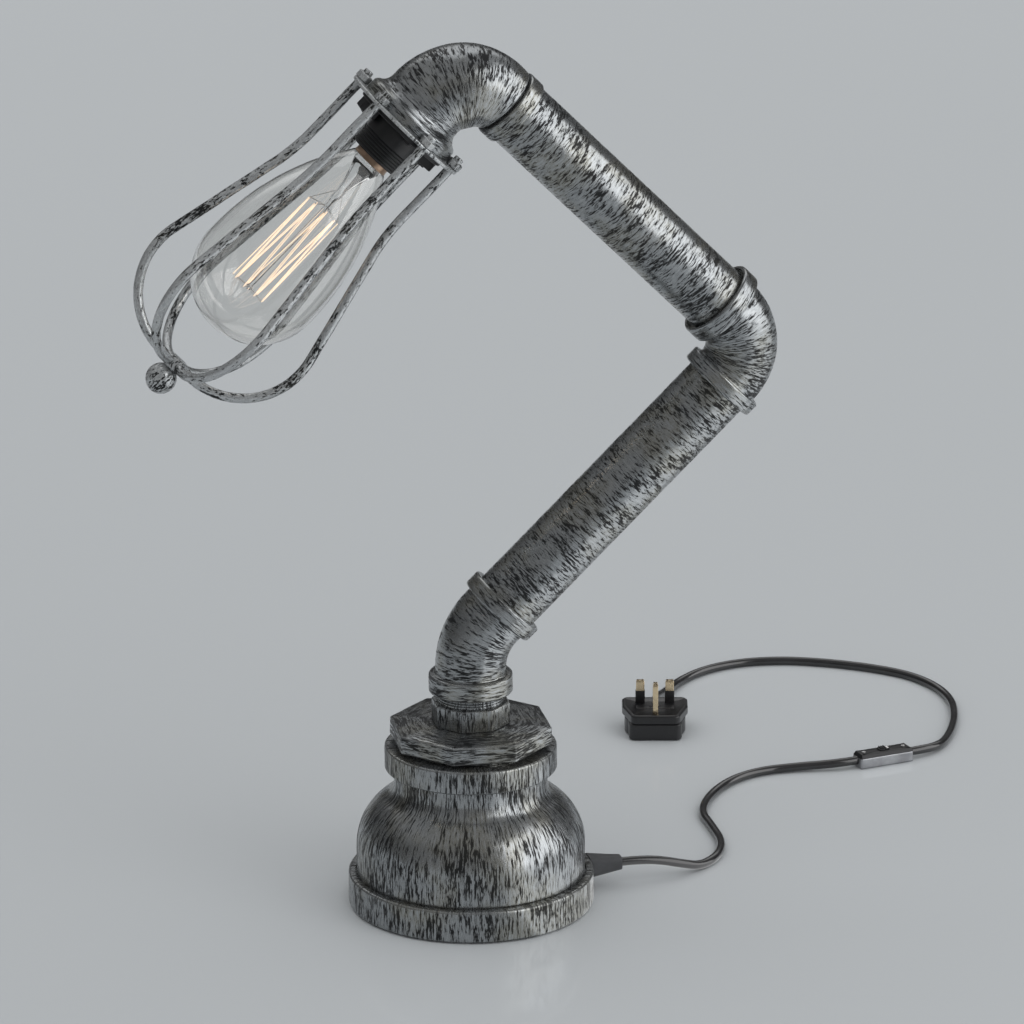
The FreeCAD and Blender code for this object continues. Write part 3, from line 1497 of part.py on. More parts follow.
def switch_contacts():
    """Two brass strips on the floor of the shell that the slider bridges."""
    strips = []
    for side in (1, -1):
        place = (d.strip_reach * side, 0, d.switch_wall)
        name = side_name("switch_strip", side)
        strips.append(box(name, d.strip_length, d.strip_width, d.strip_height, place))
    return keep("switch_contacts", group("switch_strip_pair", strips), SWITCH_FRAME)


# Plug


PIN_BOTTOM = d.plug_cover_height - d.pin_root
PIN_PLATE_TOP = d.plug_cover_height + d.plug_flange_height
EARTH_ROW = d.live_row - d.pin_spacing
CARRIER_ROW = d.live_row - d.pin_spacing / 2 + d.carrier_offset


def outlet_half(name, bottom, height):
    """The part of the round cord outlet that lies in one of the plug's two halves."""
    start = d.plug_length / 2 - d.plug_outlet_root
    round_bar = cylinder(name + "_round", d.plug_outlet_radius, d.plug_outlet_length + d.plug_outlet_root,
                         (0, start, d.plug_cord_height), Rotation(Vector(1, 0, 0), -90))
    room = box(name + "_room", d.plug_outlet_radius * 2, d.plug_outlet_length * 4, height, (0, start, bottom))
    return common(name, round_bar, room)


def plug_cover():
    """The hollow back shell, with a bulge to hold on each side."""
    shell = extruded("plug_shell", rounded_rectangle(d.plug_cover_width, d.plug_length, d.plug_corner),
                     d.plug_cover_height)
    edge = d.plug_cover_width / 2
    root_line = edge - d.plug_outlet_root
    half = d.grip_length / 2
    reach = half * half / (d.grip_bulge * 2) + d.grip_bulge / 2
    far = [(root_line, -half), (edge, -half), (edge, half, -reach), (root_line, half)]
    near_side = [(-root_line, half), (-edge, half), (-edge, -half, -reach), (-root_line, -half)]
    height = d.plug_cover_height - d.grip_bottom * 2
    grips = [
        extruded("plug_grip_far", far, height, d.grip_bottom),
        extruded("plug_grip_near", near_side, height, d.grip_bottom),
    ]
    whole = fuse("plug_shell_whole", shell, outlet_half("plug_outlet_low", 0, d.plug_cover_height), *grips)
    wall = d.plug_wall
    hollow = box("plug_hollow", d.plug_cover_width - wall * 2, d.plug_length - wall * 2, d.plug_cover_height,
                 (0, 0, wall))
    return keep("plug_cover", cut("plug_shell_open", whole, hollow), PLUG_FRAME)


def plug_base():
    """The pin plate: wide where the cord leaves, narrow at the earth pin."""
    wide = d.plug_flange_width / 2
    nose = d.plug_nose_width / 2
    back = d.plug_length / 2
    corner = d.plug_corner
    bottom = d.plug_cover_height
    corners = [
        (nose - corner, -back),
        (nose, corner - back, -corner),
        (wide, d.plug_waist),
        (wide, back - corner),
        (wide - corner, back, -corner),
        (corner - wide, back),
        (-wide, back - corner, -corner),
        (-wide, d.plug_waist),
        (-nose, corner - back),
        (corner - nose, -back, -corner),
    ]
    plate = extruded("pin_plate", corners, d.plug_flange_height, bottom)
    gap = d.thread_clearance * 2
    ease = d.carrier_clearance * 2
    tools = [
        box("earth_way", d.earth_width + gap, d.earth_length + gap, d.plug_flange_height,
            (0, EARTH_ROW, bottom)),
        box("carrier_way", d.carrier_length + ease, d.carrier_width + ease, d.carrier_height,
            (0, CARRIER_ROW, PIN_PLATE_TOP - d.carrier_height)),
        box("fuse_way", d.fuse_length + ease, d.fuse_radius * 2 + ease, d.plug_flange_height,
            (0, CARRIER_ROW, bottom)),
    ]
    for side in (1, -1):
        place = (d.pin_spacing / 2 * side, d.live_row, bottom)
        tools.append(box(side_name("pin_way", side), d.pin_width + gap, d.pin_thickness + gap,
                         d.plug_flange_height, place))
    whole = fuse("pin_plate_whole", plate, outlet_half("plug_outlet_high", bottom, d.plug_flange_height))
    return keep("plug_base", cut("pin_plate_cut", whole, *tools), PLUG_FRAME)


def plug_live_pins():
    pins = []
    height = PIN_PLATE_TOP + d.pin_reach - PIN_BOTTOM
    for side in (1, -1):
        place = (d.pin_spacing / 2 * side, d.live_row, PIN_BOTTOM)
        pins.append(box(side_name("pin", side), d.pin_width, d.pin_thickness, height, place))
    return keep("plug_live_pins", group("pin_pair", pins), PLUG_FRAME)


def plug_earth_pin():
    height = PIN_PLATE_TOP + d.earth_reach - PIN_BOTTOM
    pin = box("earth_pin", d.earth_width, d.earth_length, height, (0, EARTH_ROW, PIN_BOTTOM))
    return keep("plug_earth_pin", pin, PLUG_FRAME)


def pin_sleeves():
    """Black sleeves round the roots of the two live pins."""
    sleeves = []
    grow = d.sleeve_wall * 2
    for side in (1, -1):
        name = side_name("sleeve", side)
        place = (d.pin_spacing / 2 * side, d.live_row, PIN_PLATE_TOP)
        outer = box(name + "_outer", d.pin_width + grow, d.pin_thickness + grow, d.sleeve_height, place)
        inner = box(name + "_inner", d.pin_width, d.pin_thickness, d.sleeve_height, place)
        sleeves.append(cut(name, outer, inner))
    return keep("pin_sleeves", group("sleeve_pair", sleeves), PLUG_FRAME)


def fuse_carrier():
    plate = box("carrier", d.carrier_length, d.carrier_width, d.carrier_height,
                (0, CARRIER_ROW, PIN_PLATE_TOP - d.carrier_height))
    return keep("fuse_carrier", plate, PLUG_FRAME)


def plug_fuse():
    """A cartridge fuse in its slot under the carrier."""
    height = PIN_PLATE_TOP - d.carrier_height - d.fuse_radius - d.carrier_clearance
    start = (-d.fuse_length / 2, CARRIER_ROW, height)
    body = cylinder("cartridge", d.fuse_radius, d.fuse_length, start, tilt(90))
    return keep("plug_fuse", body, PLUG_FRAME)


# Assembly


def build():
    stand_casting()
    bottom_plate()
    plate_screws()
    foot_pad()
    ballast()
    strain_relief()
    gland_nut()
    bushing()
    nipple()
    lower_elbow()
    lower_pipe()
    middle_elbow()
    upper_pipe()
    pipe_band()
    top_elbow()
    cage_ring()
    for number in range(int(d.wire_count.value)):
        cage_wire(number)
    cage_nuts()
    cage_hub()
    cage_knob()
    holder_bracket()
    holder_screws()
    holder_body()
    holder_skirt()
    holder_latch()
    holder_contacts()
    bulb_cap()
    bulb_insulator()
    bulb_contact()
    bulb_glass()
    bulb_stem()
    filament_supports()
    bulb_filament()
    free_cords()
    inner_cables()
    switch_base()
    switch_cover()
    switch_screws()
    switch_slider()
    switch_contacts()
    plug_cover()
    plug_base()
    plug_live_pins()
    plug_earth_pin()
    pin_sleeves()
    fuse_carrier()
    plug_fuse()


def check():
    """Stops before anything is written if a feature failed or a sub-part is not a sound solid."""
    for piece in doc.Objects:
        if "Invalid" in piece.State or "Error" in piece.State:
            raise ValueError("%s failed: %s" % (piece.Label, piece.State))
    for label, piece in nodes.items():
        shape = piece.Shape
        if shape.isNull() or not shape.isValid() or not shape.Solids:
            raise ValueError(label + " has no sound solid")


def export():
    os.makedirs("parts", exist_ok=True)
    for label, piece in nodes.items():
        piece.Shape.exportStep("parts/%s.step" % label)


build()
doc.recompute()
check()
export()
print("%d sub-parts, %d solids" % (len(nodes), sum(len(piece.Shape.Solids) for piece in nodes.values())))
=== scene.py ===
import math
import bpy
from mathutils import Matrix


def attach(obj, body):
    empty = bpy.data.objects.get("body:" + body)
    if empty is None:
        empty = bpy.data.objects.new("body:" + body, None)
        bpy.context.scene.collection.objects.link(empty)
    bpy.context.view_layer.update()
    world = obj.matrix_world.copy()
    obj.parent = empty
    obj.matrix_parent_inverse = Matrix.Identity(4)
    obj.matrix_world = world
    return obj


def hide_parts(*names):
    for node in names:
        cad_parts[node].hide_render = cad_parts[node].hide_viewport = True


bl_info = {
    "name": "Pipe Table Lamp",
    "version": (1, 0, 0),
    "blender": (4, 5, 0),
    "location": "3D View > Sidebar > Lamp",
    "description": "Builds an industrial table lamp of pipe fittings with a caged filament bulb",
    "category": "Add Mesh",
}

import bmesh
import bpy
import numpy as np
from bpy.props import FloatProperty, FloatVectorProperty, PointerProperty
from mathutils import Vector

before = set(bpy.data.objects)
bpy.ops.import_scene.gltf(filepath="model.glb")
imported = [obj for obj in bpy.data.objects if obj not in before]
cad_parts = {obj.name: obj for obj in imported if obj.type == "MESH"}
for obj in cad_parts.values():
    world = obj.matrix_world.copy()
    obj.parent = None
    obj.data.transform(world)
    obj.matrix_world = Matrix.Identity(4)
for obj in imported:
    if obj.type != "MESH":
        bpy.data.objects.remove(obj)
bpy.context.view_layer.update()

# Shapes are worked out in millimetres and turned into metres when their mesh is made.
METRE = 0.001
TURN = 2.0 * math.pi


# What a user may change


def length(name, description, default):
    return FloatProperty(name=name, description=description, default=default, min=0.0001, unit="LENGTH", precision=4)


def colour(name, description, default):
    return FloatVectorProperty(name=name, description=description, default=default, min=0.0, max=1.0,
                               size=3, subtype="COLOR")


class LampSizes(bpy.types.PropertyGroup):
    """Sizes of the lamp's visible pieces."""

    base_radius: length("Base radius", "Outer radius of the band on the table", 0.087)
    bell_radius: length("Bell radius", "Radius of the bell above the band", 0.081)
    neck_radius: length("Neck radius", "Radius of the bell's throat", 0.054)
    top_band_radius: length("Top band radius", "Radius of the band round the bell's mouth", 0.061)
    octagon_flats: length("Bushing width", "Width of the octagonal bushing across its flats", 0.1075)
    nipple_flats: length("Nipple width", "Width of the octagonal nipple across its flats", 0.0521)
    pipe_radius: length("Pipe radius", "Outer radius of both pipes", 0.02415)
    collar_radius: length("Collar radius", "Outer radius of the elbows' beads", 0.0295)
    elbow_radius: length("Elbow radius", "Outer radius of the elbows between their beads", 0.0249)
    ring_radius: length("Ring radius", "Outer radius of the cage's ring", 0.048)
    wire_radius: length("Wire radius", "Radius of the cage's rods", 0.0034)
    cage_radius: length("Cage radius", "Largest radius of the cage, at the rods' middle", 0.0664)
    knob_radius: length("Ball radius", "Radius of the ball on the end of the cage", 0.0108)
    bulb_radius: length("Bulb radius", "Largest radius of the bulb", 0.047)
    cord_radius: length("Cord radius", "Radius of the mains cord", 0.00325)


class LampColours(bpy.types.PropertyGroup):
    """Colours of the lamp's finishes."""

    coat: colour("Base coat", "The dark paint under the silver", (0.010, 0.011, 0.012))
    coat_warm: colour("Warm base coat", "The dark paint where it turns brown", (0.016, 0.016, 0.014))
    silver: colour("Silver", "The thin brushed silver", (0.295, 0.310, 0.320))
    silver_warm: colour("Warm silver", "The thin silver where it turns olive", (0.275, 0.275, 0.252))
    bright: colour("Bright silver", "The silver where the brush left most", (0.37, 0.386, 0.395))
    pale: colour("Pale silver", "The heavier silver on the cage", (0.56, 0.58, 0.59))
    plastic: colour("Black plastic", "The holder, the plug and the switch's lid", (0.007, 0.007, 0.008))
    cord: colour("Cord", "The mains cord's sheath", (0.012, 0.012, 0.013))
    relief: colour("Strain relief", "The rubber sleeve at the base", (0.048, 0.0495, 0.053))
    brass: colour("Brass", "The plug's pins", (0.70, 0.57, 0.38))
    cap: colour("Bulb cap", "The bulb's screw cap", (0.30, 0.21, 0.15))
    glow: colour("Glow", "The light of the filament", (1.0, 0.74, 0.54))


class LampStage(bpy.types.PropertyGroup):
    """The floor, the light and the camera."""

    floor: colour("Floor", "Colour of the floor", (0.515, 0.540, 0.558))
    sky: FloatProperty(name="Sky strength", description="Brightness of the light from all round", default=0.98, min=0.0)
    mirrored: FloatProperty(name="Sky in the metal", description="How much of the sky's light the metal mirrors",
                            default=0.27, min=0.0, max=1.0)
    screen: FloatProperty(name="Screen", description="Brightness of the wide white screen that the metal mirrors",
                          default=2.1, min=0.0)
    hair_light: FloatProperty(name="Hair light", description="Brightness of the high screen behind the lamp",
                              default=0.8, min=0.0)
    window: FloatProperty(name="Window power", description="Power of the tall light on the right", default=12.0,
                          min=0.0, unit="POWER")
    lens: FloatProperty(name="Lens", description="Focal length of the camera in millimetres", default=247.85, min=1.0,
                        unit="CAMERA")


def mm(size):
    """A length property in millimetres."""
    return size / METRE


# Places of the pieces


def axes(origin, x_axis, z_axis):
    """A frame as a 3 x 4 array: its columns are the x, y and z directions and the origin."""
    x = np.array(x_axis, float)
    z = np.array(z_axis, float)
    return np.column_stack([x, np.cross(z, x), z, np.array(origin, float)])


HALF = math.sqrt(0.5)
UP_PIPE = np.array([HALF, 0.0, HALF])
BACK_PIPE = np.array([-HALF, 0.0, HALF])
LOWER_CORNER = np.array([0.0, 0.0, 196.0])
LOWER_CENTRES = 290.8
UPPER_CENTRES = 295.9
MIDDLE_CORNER = LOWER_CORNER + UP_PIPE * LOWER_CENTRES
TOP_CORNER = MIDDLE_CORNER + BACK_PIPE * UPPER_CENTRES
RING_THICKNESS = 2.5
TOP_OUTLET = 56.8
TOP_INLET = 38.0
BAND_GAP = 2.0
PIPE_BORE = 20.9
ELBOW_BORE = 19.0

STAND = axes((0, 0, 0), (1, 0, 0), (0, 0, 1))
LOWER_ELBOW = axes(LOWER_CORNER, (1, 0, 0), (0, 0, 1))
LOWER_PIPE = axes(LOWER_CORNER, -BACK_PIPE, UP_PIPE)
MIDDLE_ELBOW = axes(MIDDLE_CORNER, BACK_PIPE, UP_PIPE)
UPPER_PIPE = axes(MIDDLE_CORNER, UP_PIPE, BACK_PIPE)
TOP_ELBOW = axes(TOP_CORNER, -UP_PIPE, BACK_PIPE)
CAGE = axes(TOP_CORNER - UP_PIPE * (TOP_OUTLET + RING_THICKNESS), BACK_PIPE, -UP_PIPE)


def turned_about_z(degrees, origin):
    angle = math.radians(degrees)
    return axes(origin, (math.cos(angle), math.sin(angle), 0), (0, 0, 1))


SWITCH = turned_about_z(14.0, (352.85, 214.2, 0))
PLUG = turned_about_z(-11.0, (200.3, 313.5, 0))
GLAND_ANGLE = math.radians(6.0)
GLAND_OUT = np.array([math.cos(GLAND_ANGLE), math.sin(GLAND_ANGLE), 0.0])
GLAND = axes((0, 0, 16.0), (0, 0, -1), GLAND_OUT)


def carried_to(place, points):
    """Points of a piece's own frame in the lamp's frame: each is the origin plus x, y and z times the directions."""
    return points @ place[:, :3].T + place[:, 3]


# Outlines and profiles


STRAIGHT = math.radians(89.5)


def fillet(corners, steps=5, closed=True):
    """Corners (x, y, radius) as a line whose corners are arcs.

    Each arc's centre lies on the corner's bisector, at radius over the sine of half the corner's angle.
    """
    points = []
    count = len(corners)
    for index, (x, y, radius) in enumerate(corners):
        here = np.array([x, y], float)
        if radius <= 0 or (not closed and index in (0, count - 1)):
            points.append(here[None])
            continue
        back = np.array(corners[index - 1][:2], float) - here
        ahead = np.array(corners[(index + 1) % count][:2], float) - here
        back /= np.linalg.norm(back)
        ahead /= np.linalg.norm(ahead)
        half = math.acos(np.clip(back @ ahead, -1, 1)) / 2
        if half > STRAIGHT:
            points.append(here[None])
            continue
        bisector = (back + ahead) / np.linalg.norm(back + ahead)
        centre = here + bisector * radius / math.sin(half)
        reach = radius / math.tan(half)
        first = here + back * reach - centre
        last = here + ahead * reach - centre
        sweep = math.pi - 2 * half
        share = np.linspace(0, 1, steps)[:, None]
        arc = (np.sin((1 - share) * sweep) * first + np.sin(share * sweep) * last) / math.sin(sweep)
        points.append(centre + arc)
    return np.concatenate(points)


def arc(centre, radius, start, end, steps):
    """Points on a circle from one angle to another, in degrees."""
    angle = np.radians(np.linspace(start, end, steps))
    return np.column_stack([centre[0] + radius * np.cos(angle), centre[1] + radius * np.sin(angle)])


def spaced(points, step, closed=True):
    """The same line with more points, so that none of its runs is longer than step."""
    following = np.roll(points, -1, 0) if closed else points[1:]
    starts = points if closed else points[:-1]
    parts = []
    for start, end in zip(starts, following):
        count = max(1, int(math.ceil(np.linalg.norm(end - start) / step)))
        share = np.arange(count)[:, None] / count
        parts.append(start + (end - start) * share)
    if not closed:
        parts.append(points[-1:])
    return np.concatenate(parts)


def travelled(points):
    """Distance along a line of points, from its first one."""
    steps = np.linalg.norm(np.diff(points, axis=0), axis=1)
    return np.concatenate([[0.0], np.cumsum(steps)])


def sharpness(points, closed):
    """How sharply a line turns outwards at each point, from 0 on a flat to 1 on a worn edge.

    It is the turn at the point over the mean length of its two runs, scaled, with the sign of the outline's turn.
    """
    before = points - np.roll(points, 1, 0)
    after = np.roll(points, -1, 0) - points
    cross = before[:, 0] * after[:, 1] - before[:, 1] * after[:, 0]
    turn = np.arctan2(cross, np.sum(before * after, axis=1))
    run = (np.linalg.norm(before, axis=1) + np.linalg.norm(after, axis=1)) / 2 + 1e-6
    area = np.sum(points[:, 0] * np.roll(points[:, 1], -1) - points[:, 1] * np.roll(points[:, 0], -1))
    bend = turn / run * np.sign(area)
    if not closed:
        bend[0] = bend[-1] = 0.0
    return np.clip((bend - 0.12) / 0.5, 0, 1)


def polygon(sides, flats, corner, run, turn=0.0):
    """A regular polygon with rounded corners, given by its width across flats."""
    angle = np.arange(sides) * TURN / sides + math.pi / sides + turn
    reach = flats / 2 / math.cos(math.pi / sides)
    corners = [(reach * math.cos(a), reach * math.sin(a), corner) for a in angle]
    return spaced(fillet(corners), run)


def rectangle(width, depth, corner, run):
    """A rectangle about the origin with rounded corners."""
    x = width / 2
    y = depth / 2
    return spaced(fillet([(x, -y, corner), (x, y, corner), (-x, y, corner), (-x, -y, corner)]), run)


def outward(outline):
    """The outline's outward direction at each point: the way along it, turned a quarter to the right."""
    along = np.roll(outline, -1, 0) - np.roll(outline, 1, 0)
    along /= np.linalg.norm(along, axis=1)[:, None] + 1e-12
    return np.column_stack([along[:, 1], -along[:, 0]])


def lumps(a, s, size, seed):
    """A soft unevenness of a casting: a sum of products of sines of the angle a and the distance s."""
    phase = seed * 1.7
    wave = np.sin(3 * a + phase) * np.sin(s / 17 + phase)
    wave = wave + 0.7 * np.sin(5 * a - 1.3 * phase) * np.sin(s / 9 + 2 * phase)
    wave = wave + 0.5 * np.sin(11 * a + 2.1 * phase + s / 6) + 0.4 * np.sin(7 * a - s / 4 + phase)
    return size * wave / 2.6


# Meshes


class Shell:
    """A grid of points with its pattern coordinates, its worn edges and the number of its finish."""

    def __init__(self, points, lay, rim, close_rows, finish=0):
        self.points = points
        self.lay = lay
        self.rim = rim
        self.close_rows = close_rows
        self.finish = finish

    def faces(self):
        """Corners (row, column) of every cell; columns always wrap, rows wrap on a closed profile."""
        rows, columns = self.points.shape[:2]
        last = rows if self.close_rows else rows - 1
        row = np.arange(last)[:, None]
        column = np.arange(columns)[None, :]
        below = (row + 1) % rows
        right = (column + 1) % columns
        cells = np.stack([
            row * columns + column + 0 * right,
            row * columns + right,
            below * columns + right,
            below * columns + column + 0 * right,
        ], axis=-1)
        return cells.reshape(-1, 4)


class Route:
    """A flat curve in the plane across side, read by its length."""

    def __init__(self, points, side=(0.0, 1.0, 0.0)):
        self.points = np.asarray(points, float)
        self.length = travelled(self.points)
        tangent = np.gradient(self.points, self.length, axis=0)
        self.tangent = tangent / np.linalg.norm(tangent, axis=1)[:, None]
        self.side = np.array(side, float)

    def at(self, s):
        """Centre, normal and side at each distance s, carried straight on past either end."""
        inside = np.clip(s, 0, self.length[-1])
        centre = np.stack([np.interp(inside, self.length, self.points[:, k]) for k in range(3)], -1)
        tangent = np.stack([np.interp(inside, self.length, self.tangent[:, k]) for k in range(3)], -1)
        tangent /= np.linalg.norm(tangent, axis=-1)[..., None]
        centre = centre + tangent * (s - inside)[..., None]
        normal = np.cross(self.side, tangent)
        return centre, normal, np.broadcast_to(self.side, normal.shape)


def straight(start, end):
    return Route(np.array([[0, 0, start], [0, 0, (start + end) / 2], [0, 0, end]], float))


def bent(radius, turn, inlet, outlet):
    """An elbow's centreline: up to the bend, round it towards +X, and out of it; it turns at the origin.

    On the bend a point is the bend's centre plus radius times (-cos a, 0, sin a).
    """
    tangent = radius * math.tan(math.radians(turn) / 2)
    angle = np.radians(np.linspace(0, turn, 61))
    curve = np.column_stack([radius - radius * np.cos(angle), 0 * angle, radius * np.sin(angle) - tangent])
    out = np.array([math.sin(math.radians(turn)), 0, math.cos(math.radians(turn))])
    lead = np.linspace(-inlet, -tangent, 12)[:-1, None] * np.array([0, 0, 1.0])
    tail = np.linspace(tangent, outlet, 12)[1:, None] * out
    return Route(np.concatenate([lead, curve, tail]))


def carry(profile, route, around=72, closed=True, size=0.0, seed=1.0, lay_radius=None):
    """A profile of points (s, r) carried round and along a route.

    A point is the route's centre at s, plus r times (cos a along its normal + sin a along its side).
    """
    distance = travelled(profile)
    angle = np.linspace(0, TURN, around, endpoint=False)
    s = np.repeat(profile[:, :1], around, 1)
    r = np.repeat(profile[:, 1:], around, 1)
    a = np.repeat(angle[None], len(profile), 0)
    centre, normal, side = route.at(s)
    r = r + lumps(a, s, size, seed) * (r > 1.0)
    points = centre + r[..., None] * (np.cos(a)[..., None] * normal + np.sin(a)[..., None] * side)
    wide = lay_radius if lay_radius else float(np.max(profile[:, 1]))
    lay = np.stack([wide * np.cos(a), wide * np.sin(a), np.repeat(distance[:, None], around, 1)], -1)
    rim = np.repeat(sharpness(profile, closed)[:, None], around, 1)
    return Shell(points, lay, rim, closed)


def lathe(profile, **options):
    """A profile of points (r, z) turned about Z."""
    return carry(profile[:, ::-1], straight(0.0, 1.0), **options)


def slab(outline, profile, inner=None, size=0.0, seed=1.0):
    """An outline carried through a profile of points (inset, z).

    A point is the outline's point less inset times its outward direction. Without inner the two ends close to
    the middle; with inner, a radius, the slab has a round hole.
    """
    normal = outward(outline)
    angle = np.arctan2(outline[:, 1], outline[:, 0])
    flat = outline[None] - profile[:, :1, None] * normal[None]
    height = np.repeat(profile[:, 1:], len(outline), 1)
    uneven = lumps(angle[None], height * 3, size, seed)
    flat = flat * (1 + uneven / (np.linalg.norm(outline, axis=1)[None] + 1e-9))[..., None]
    points = np.concatenate([flat, height[..., None]], -1)
    rim_line = sharpness(np.column_stack([-profile[:, 0], profile[:, 1]]), False)
    rim = np.maximum(rim_line[:, None] * np.ones(len(outline)), sharpness(outline, True)[None] * 0.8)
    bottom = profile[0, 1]
    top = profile[-1, 1]
    if inner is None:
        ends = [0.5, 0.0]
        low = [np.column_stack([points[0, :, :2] * k, np.full(len(outline), bottom)]) for k in reversed(ends)]
        high = [np.column_stack([points[-1, :, :2] * k, np.full(len(outline), top)]) for k in ends]
    else:
        ring = inner * np.column_stack([np.cos(angle), np.sin(angle)])
        low = [np.column_stack([ring, np.full(len(outline), bottom)])]
        high = [np.column_stack([ring, np.full(len(outline), top)])]
    points = np.concatenate([np.array(low), points, np.array(high)])
    zeros = np.zeros((1, len(outline)))
    rim = np.concatenate([zeros] * len(low) + [rim] + [zeros] * len(high))
    wide = float(np.mean(np.linalg.norm(outline, axis=1)))
    run = np.cumsum(np.concatenate([[0.0], np.linalg.norm(np.diff(points, axis=0), axis=-1).mean(1)]))
    lay = np.stack([
        np.repeat((wide * np.cos(angle))[None], len(points), 0),
        np.repeat((wide * np.sin(angle))[None], len(points), 0),
        np.repeat(run[:, None], len(outline), 1),
    ], -1)
    return Shell(points, lay, rim, inner is not None)


def moved(shell, offset=(0, 0, 0), turn=0.0, tilt=None):
    """A shell put in another frame, turned about Z by degrees and then moved."""
    points = shell.points
    if tilt is not None:
        points = carried_to(tilt, points)
    c = math.cos(math.radians(turn))
    s = math.sin(math.radians(turn))
    spin = np.array([[c, -s, 0], [s, c, 0], [0, 0, 1]])
    lay = shell.lay + np.array([turn * 0.37, 0.0, turn * 0.91])
    return Shell(points @ spin.T + np.array(offset, float), lay, shell.rim, shell.close_rows, shell.finish)


def make_mesh(name, shells, place, sharp):
    """A mesh of one or more shells, closed at its poles, with outward faces and sharp creases marked."""
    points = np.concatenate([shell.points.reshape(-1, 3) for shell in shells])
    lay = np.concatenate([shell.lay.reshape(-1, 3) for shell in shells])
    rim = np.concatenate([shell.rim.reshape(-1) for shell in shells])
    faces = []
    start = 0
    for shell in shells:
        faces.append(shell.faces() + start)
        start += shell.points.shape[0] * shell.points.shape[1]
    mesh = bpy.data.meshes.new(name)
    mesh.from_pydata(carried_to(place, points) * METRE, [], np.concatenate(faces))
    layer = mesh.attributes.new("lay", "FLOAT_VECTOR", "POINT")
    layer.data.foreach_set("vector", (lay * METRE).astype(np.float32).ravel())
    worn = mesh.attributes.new("rim", "FLOAT", "POINT")
    worn.data.foreach_set("value", rim.astype(np.float32))
    finish = np.concatenate([np.full(len(shell.faces()), shell.finish) for shell in shells])
    mesh.polygons.foreach_set("material_index", finish.astype(np.int32))
    grid = bmesh.new()
    grid.from_mesh(mesh)
    bmesh.ops.remove_doubles(grid, verts=grid.verts, dist=1e-6)
    bmesh.ops.dissolve_degenerate(grid, edges=grid.edges, dist=1e-7)
    bmesh.ops.recalc_face_normals(grid, faces=grid.faces)
    grid.to_mesh(mesh)
    grid.free()
    mesh.polygons.foreach_set("use_smooth", np.ones(len(mesh.polygons), bool))
    mesh.set_sharp_from_angle(angle=math.radians(sharp))
    return mesh


def add_piece(name, shells, place, materials, body, slot, *nodes, sharp=38.0):
    """Makes a piece of shells and puts it in the scene, on its body and in place of its CAD nodes."""
    mesh = make_mesh(name, shells, place, sharp)
    piece = bpy.data.objects.new(name, mesh)
    bpy.context.scene.collection.objects.link(piece)
    for material in materials if isinstance(materials, list) else [materials]:
        mesh.materials.append(material)
    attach(piece, body)
    if nodes:
        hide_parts(*nodes)


# Shaders


class Tree:
    """Adds nodes to a node tree; a value that is a socket is linked, any other is set."""

    def __init__(self, tree):
        self.tree = tree

    def add(self, kind, sockets=None, **settings):
        node = self.tree.nodes.new(kind)
        for name, value in settings.items():
            setattr(node, name, value)
        self.fill(node, sockets or {})
        return node

    def fill(self, node, sockets):
        for key, value in sockets.items():
            if isinstance(value, bpy.types.NodeSocket):
                self.tree.links.new(value, node.inputs[key])
            else:
                node.inputs[key].default_value = value

    def maths(self, operation, first, second=0.0, third=0.0):
        return self.add("ShaderNodeMath", {0: first, 1: second, 2: third}, operation=operation).outputs[0]

    def mix(self, factor, first, second):
        return self.add("ShaderNodeMix", {0: factor, 6: first, 7: second}, data_type="RGBA").outputs[2]

    def noise(self, vector, scale, detail=3.0, roughness=0.55, output="Fac"):
        node = self.add("ShaderNodeTexNoise", {
            "Vector": vector, "Scale": scale, "Detail": detail, "Roughness": roughness,
        })
        return node.outputs[output]

    def step(self, value, low, high, first=0.0, last=1.0):
        node = self.add("ShaderNodeMapRange", {
            "Value": value, "From Min": low, "From Max": high, "To Min": first, "To Max": last,
        }, interpolation_type="SMOOTHSTEP")
        return node.outputs[0]

    def vector(self, operation, first, second):
        return self.add("ShaderNodeVectorMath", {0: first, 1: second}, operation=operation).outputs[0]

    def unit(self, vector):
        return self.add("ShaderNodeVectorMath", {0: vector}, operation="NORMALIZE").outputs[0]

    def dot(self, first, second):
        return self.add("ShaderNodeVectorMath", {0: first, 1: second}, operation="DOT_PRODUCT").outputs["Value"]


def new_group(name, inputs, outputs):
    """A shader group with sockets (name, type, default), its tree and its two end nodes."""
    tree = bpy.data.node_groups.new(name, "ShaderNodeTree")
    for label, kind, default in inputs:
        socket = tree.interface.new_socket(label, in_out="INPUT", socket_type=kind)
        socket.default_value = default
    for label, kind in outputs:
        tree.interface.new_socket(label, in_out="OUTPUT", socket_type=kind)
    start = tree.nodes.new("NodeGroupInput")
    end = tree.nodes.new("NodeGroupOutput")
    return tree, start, end


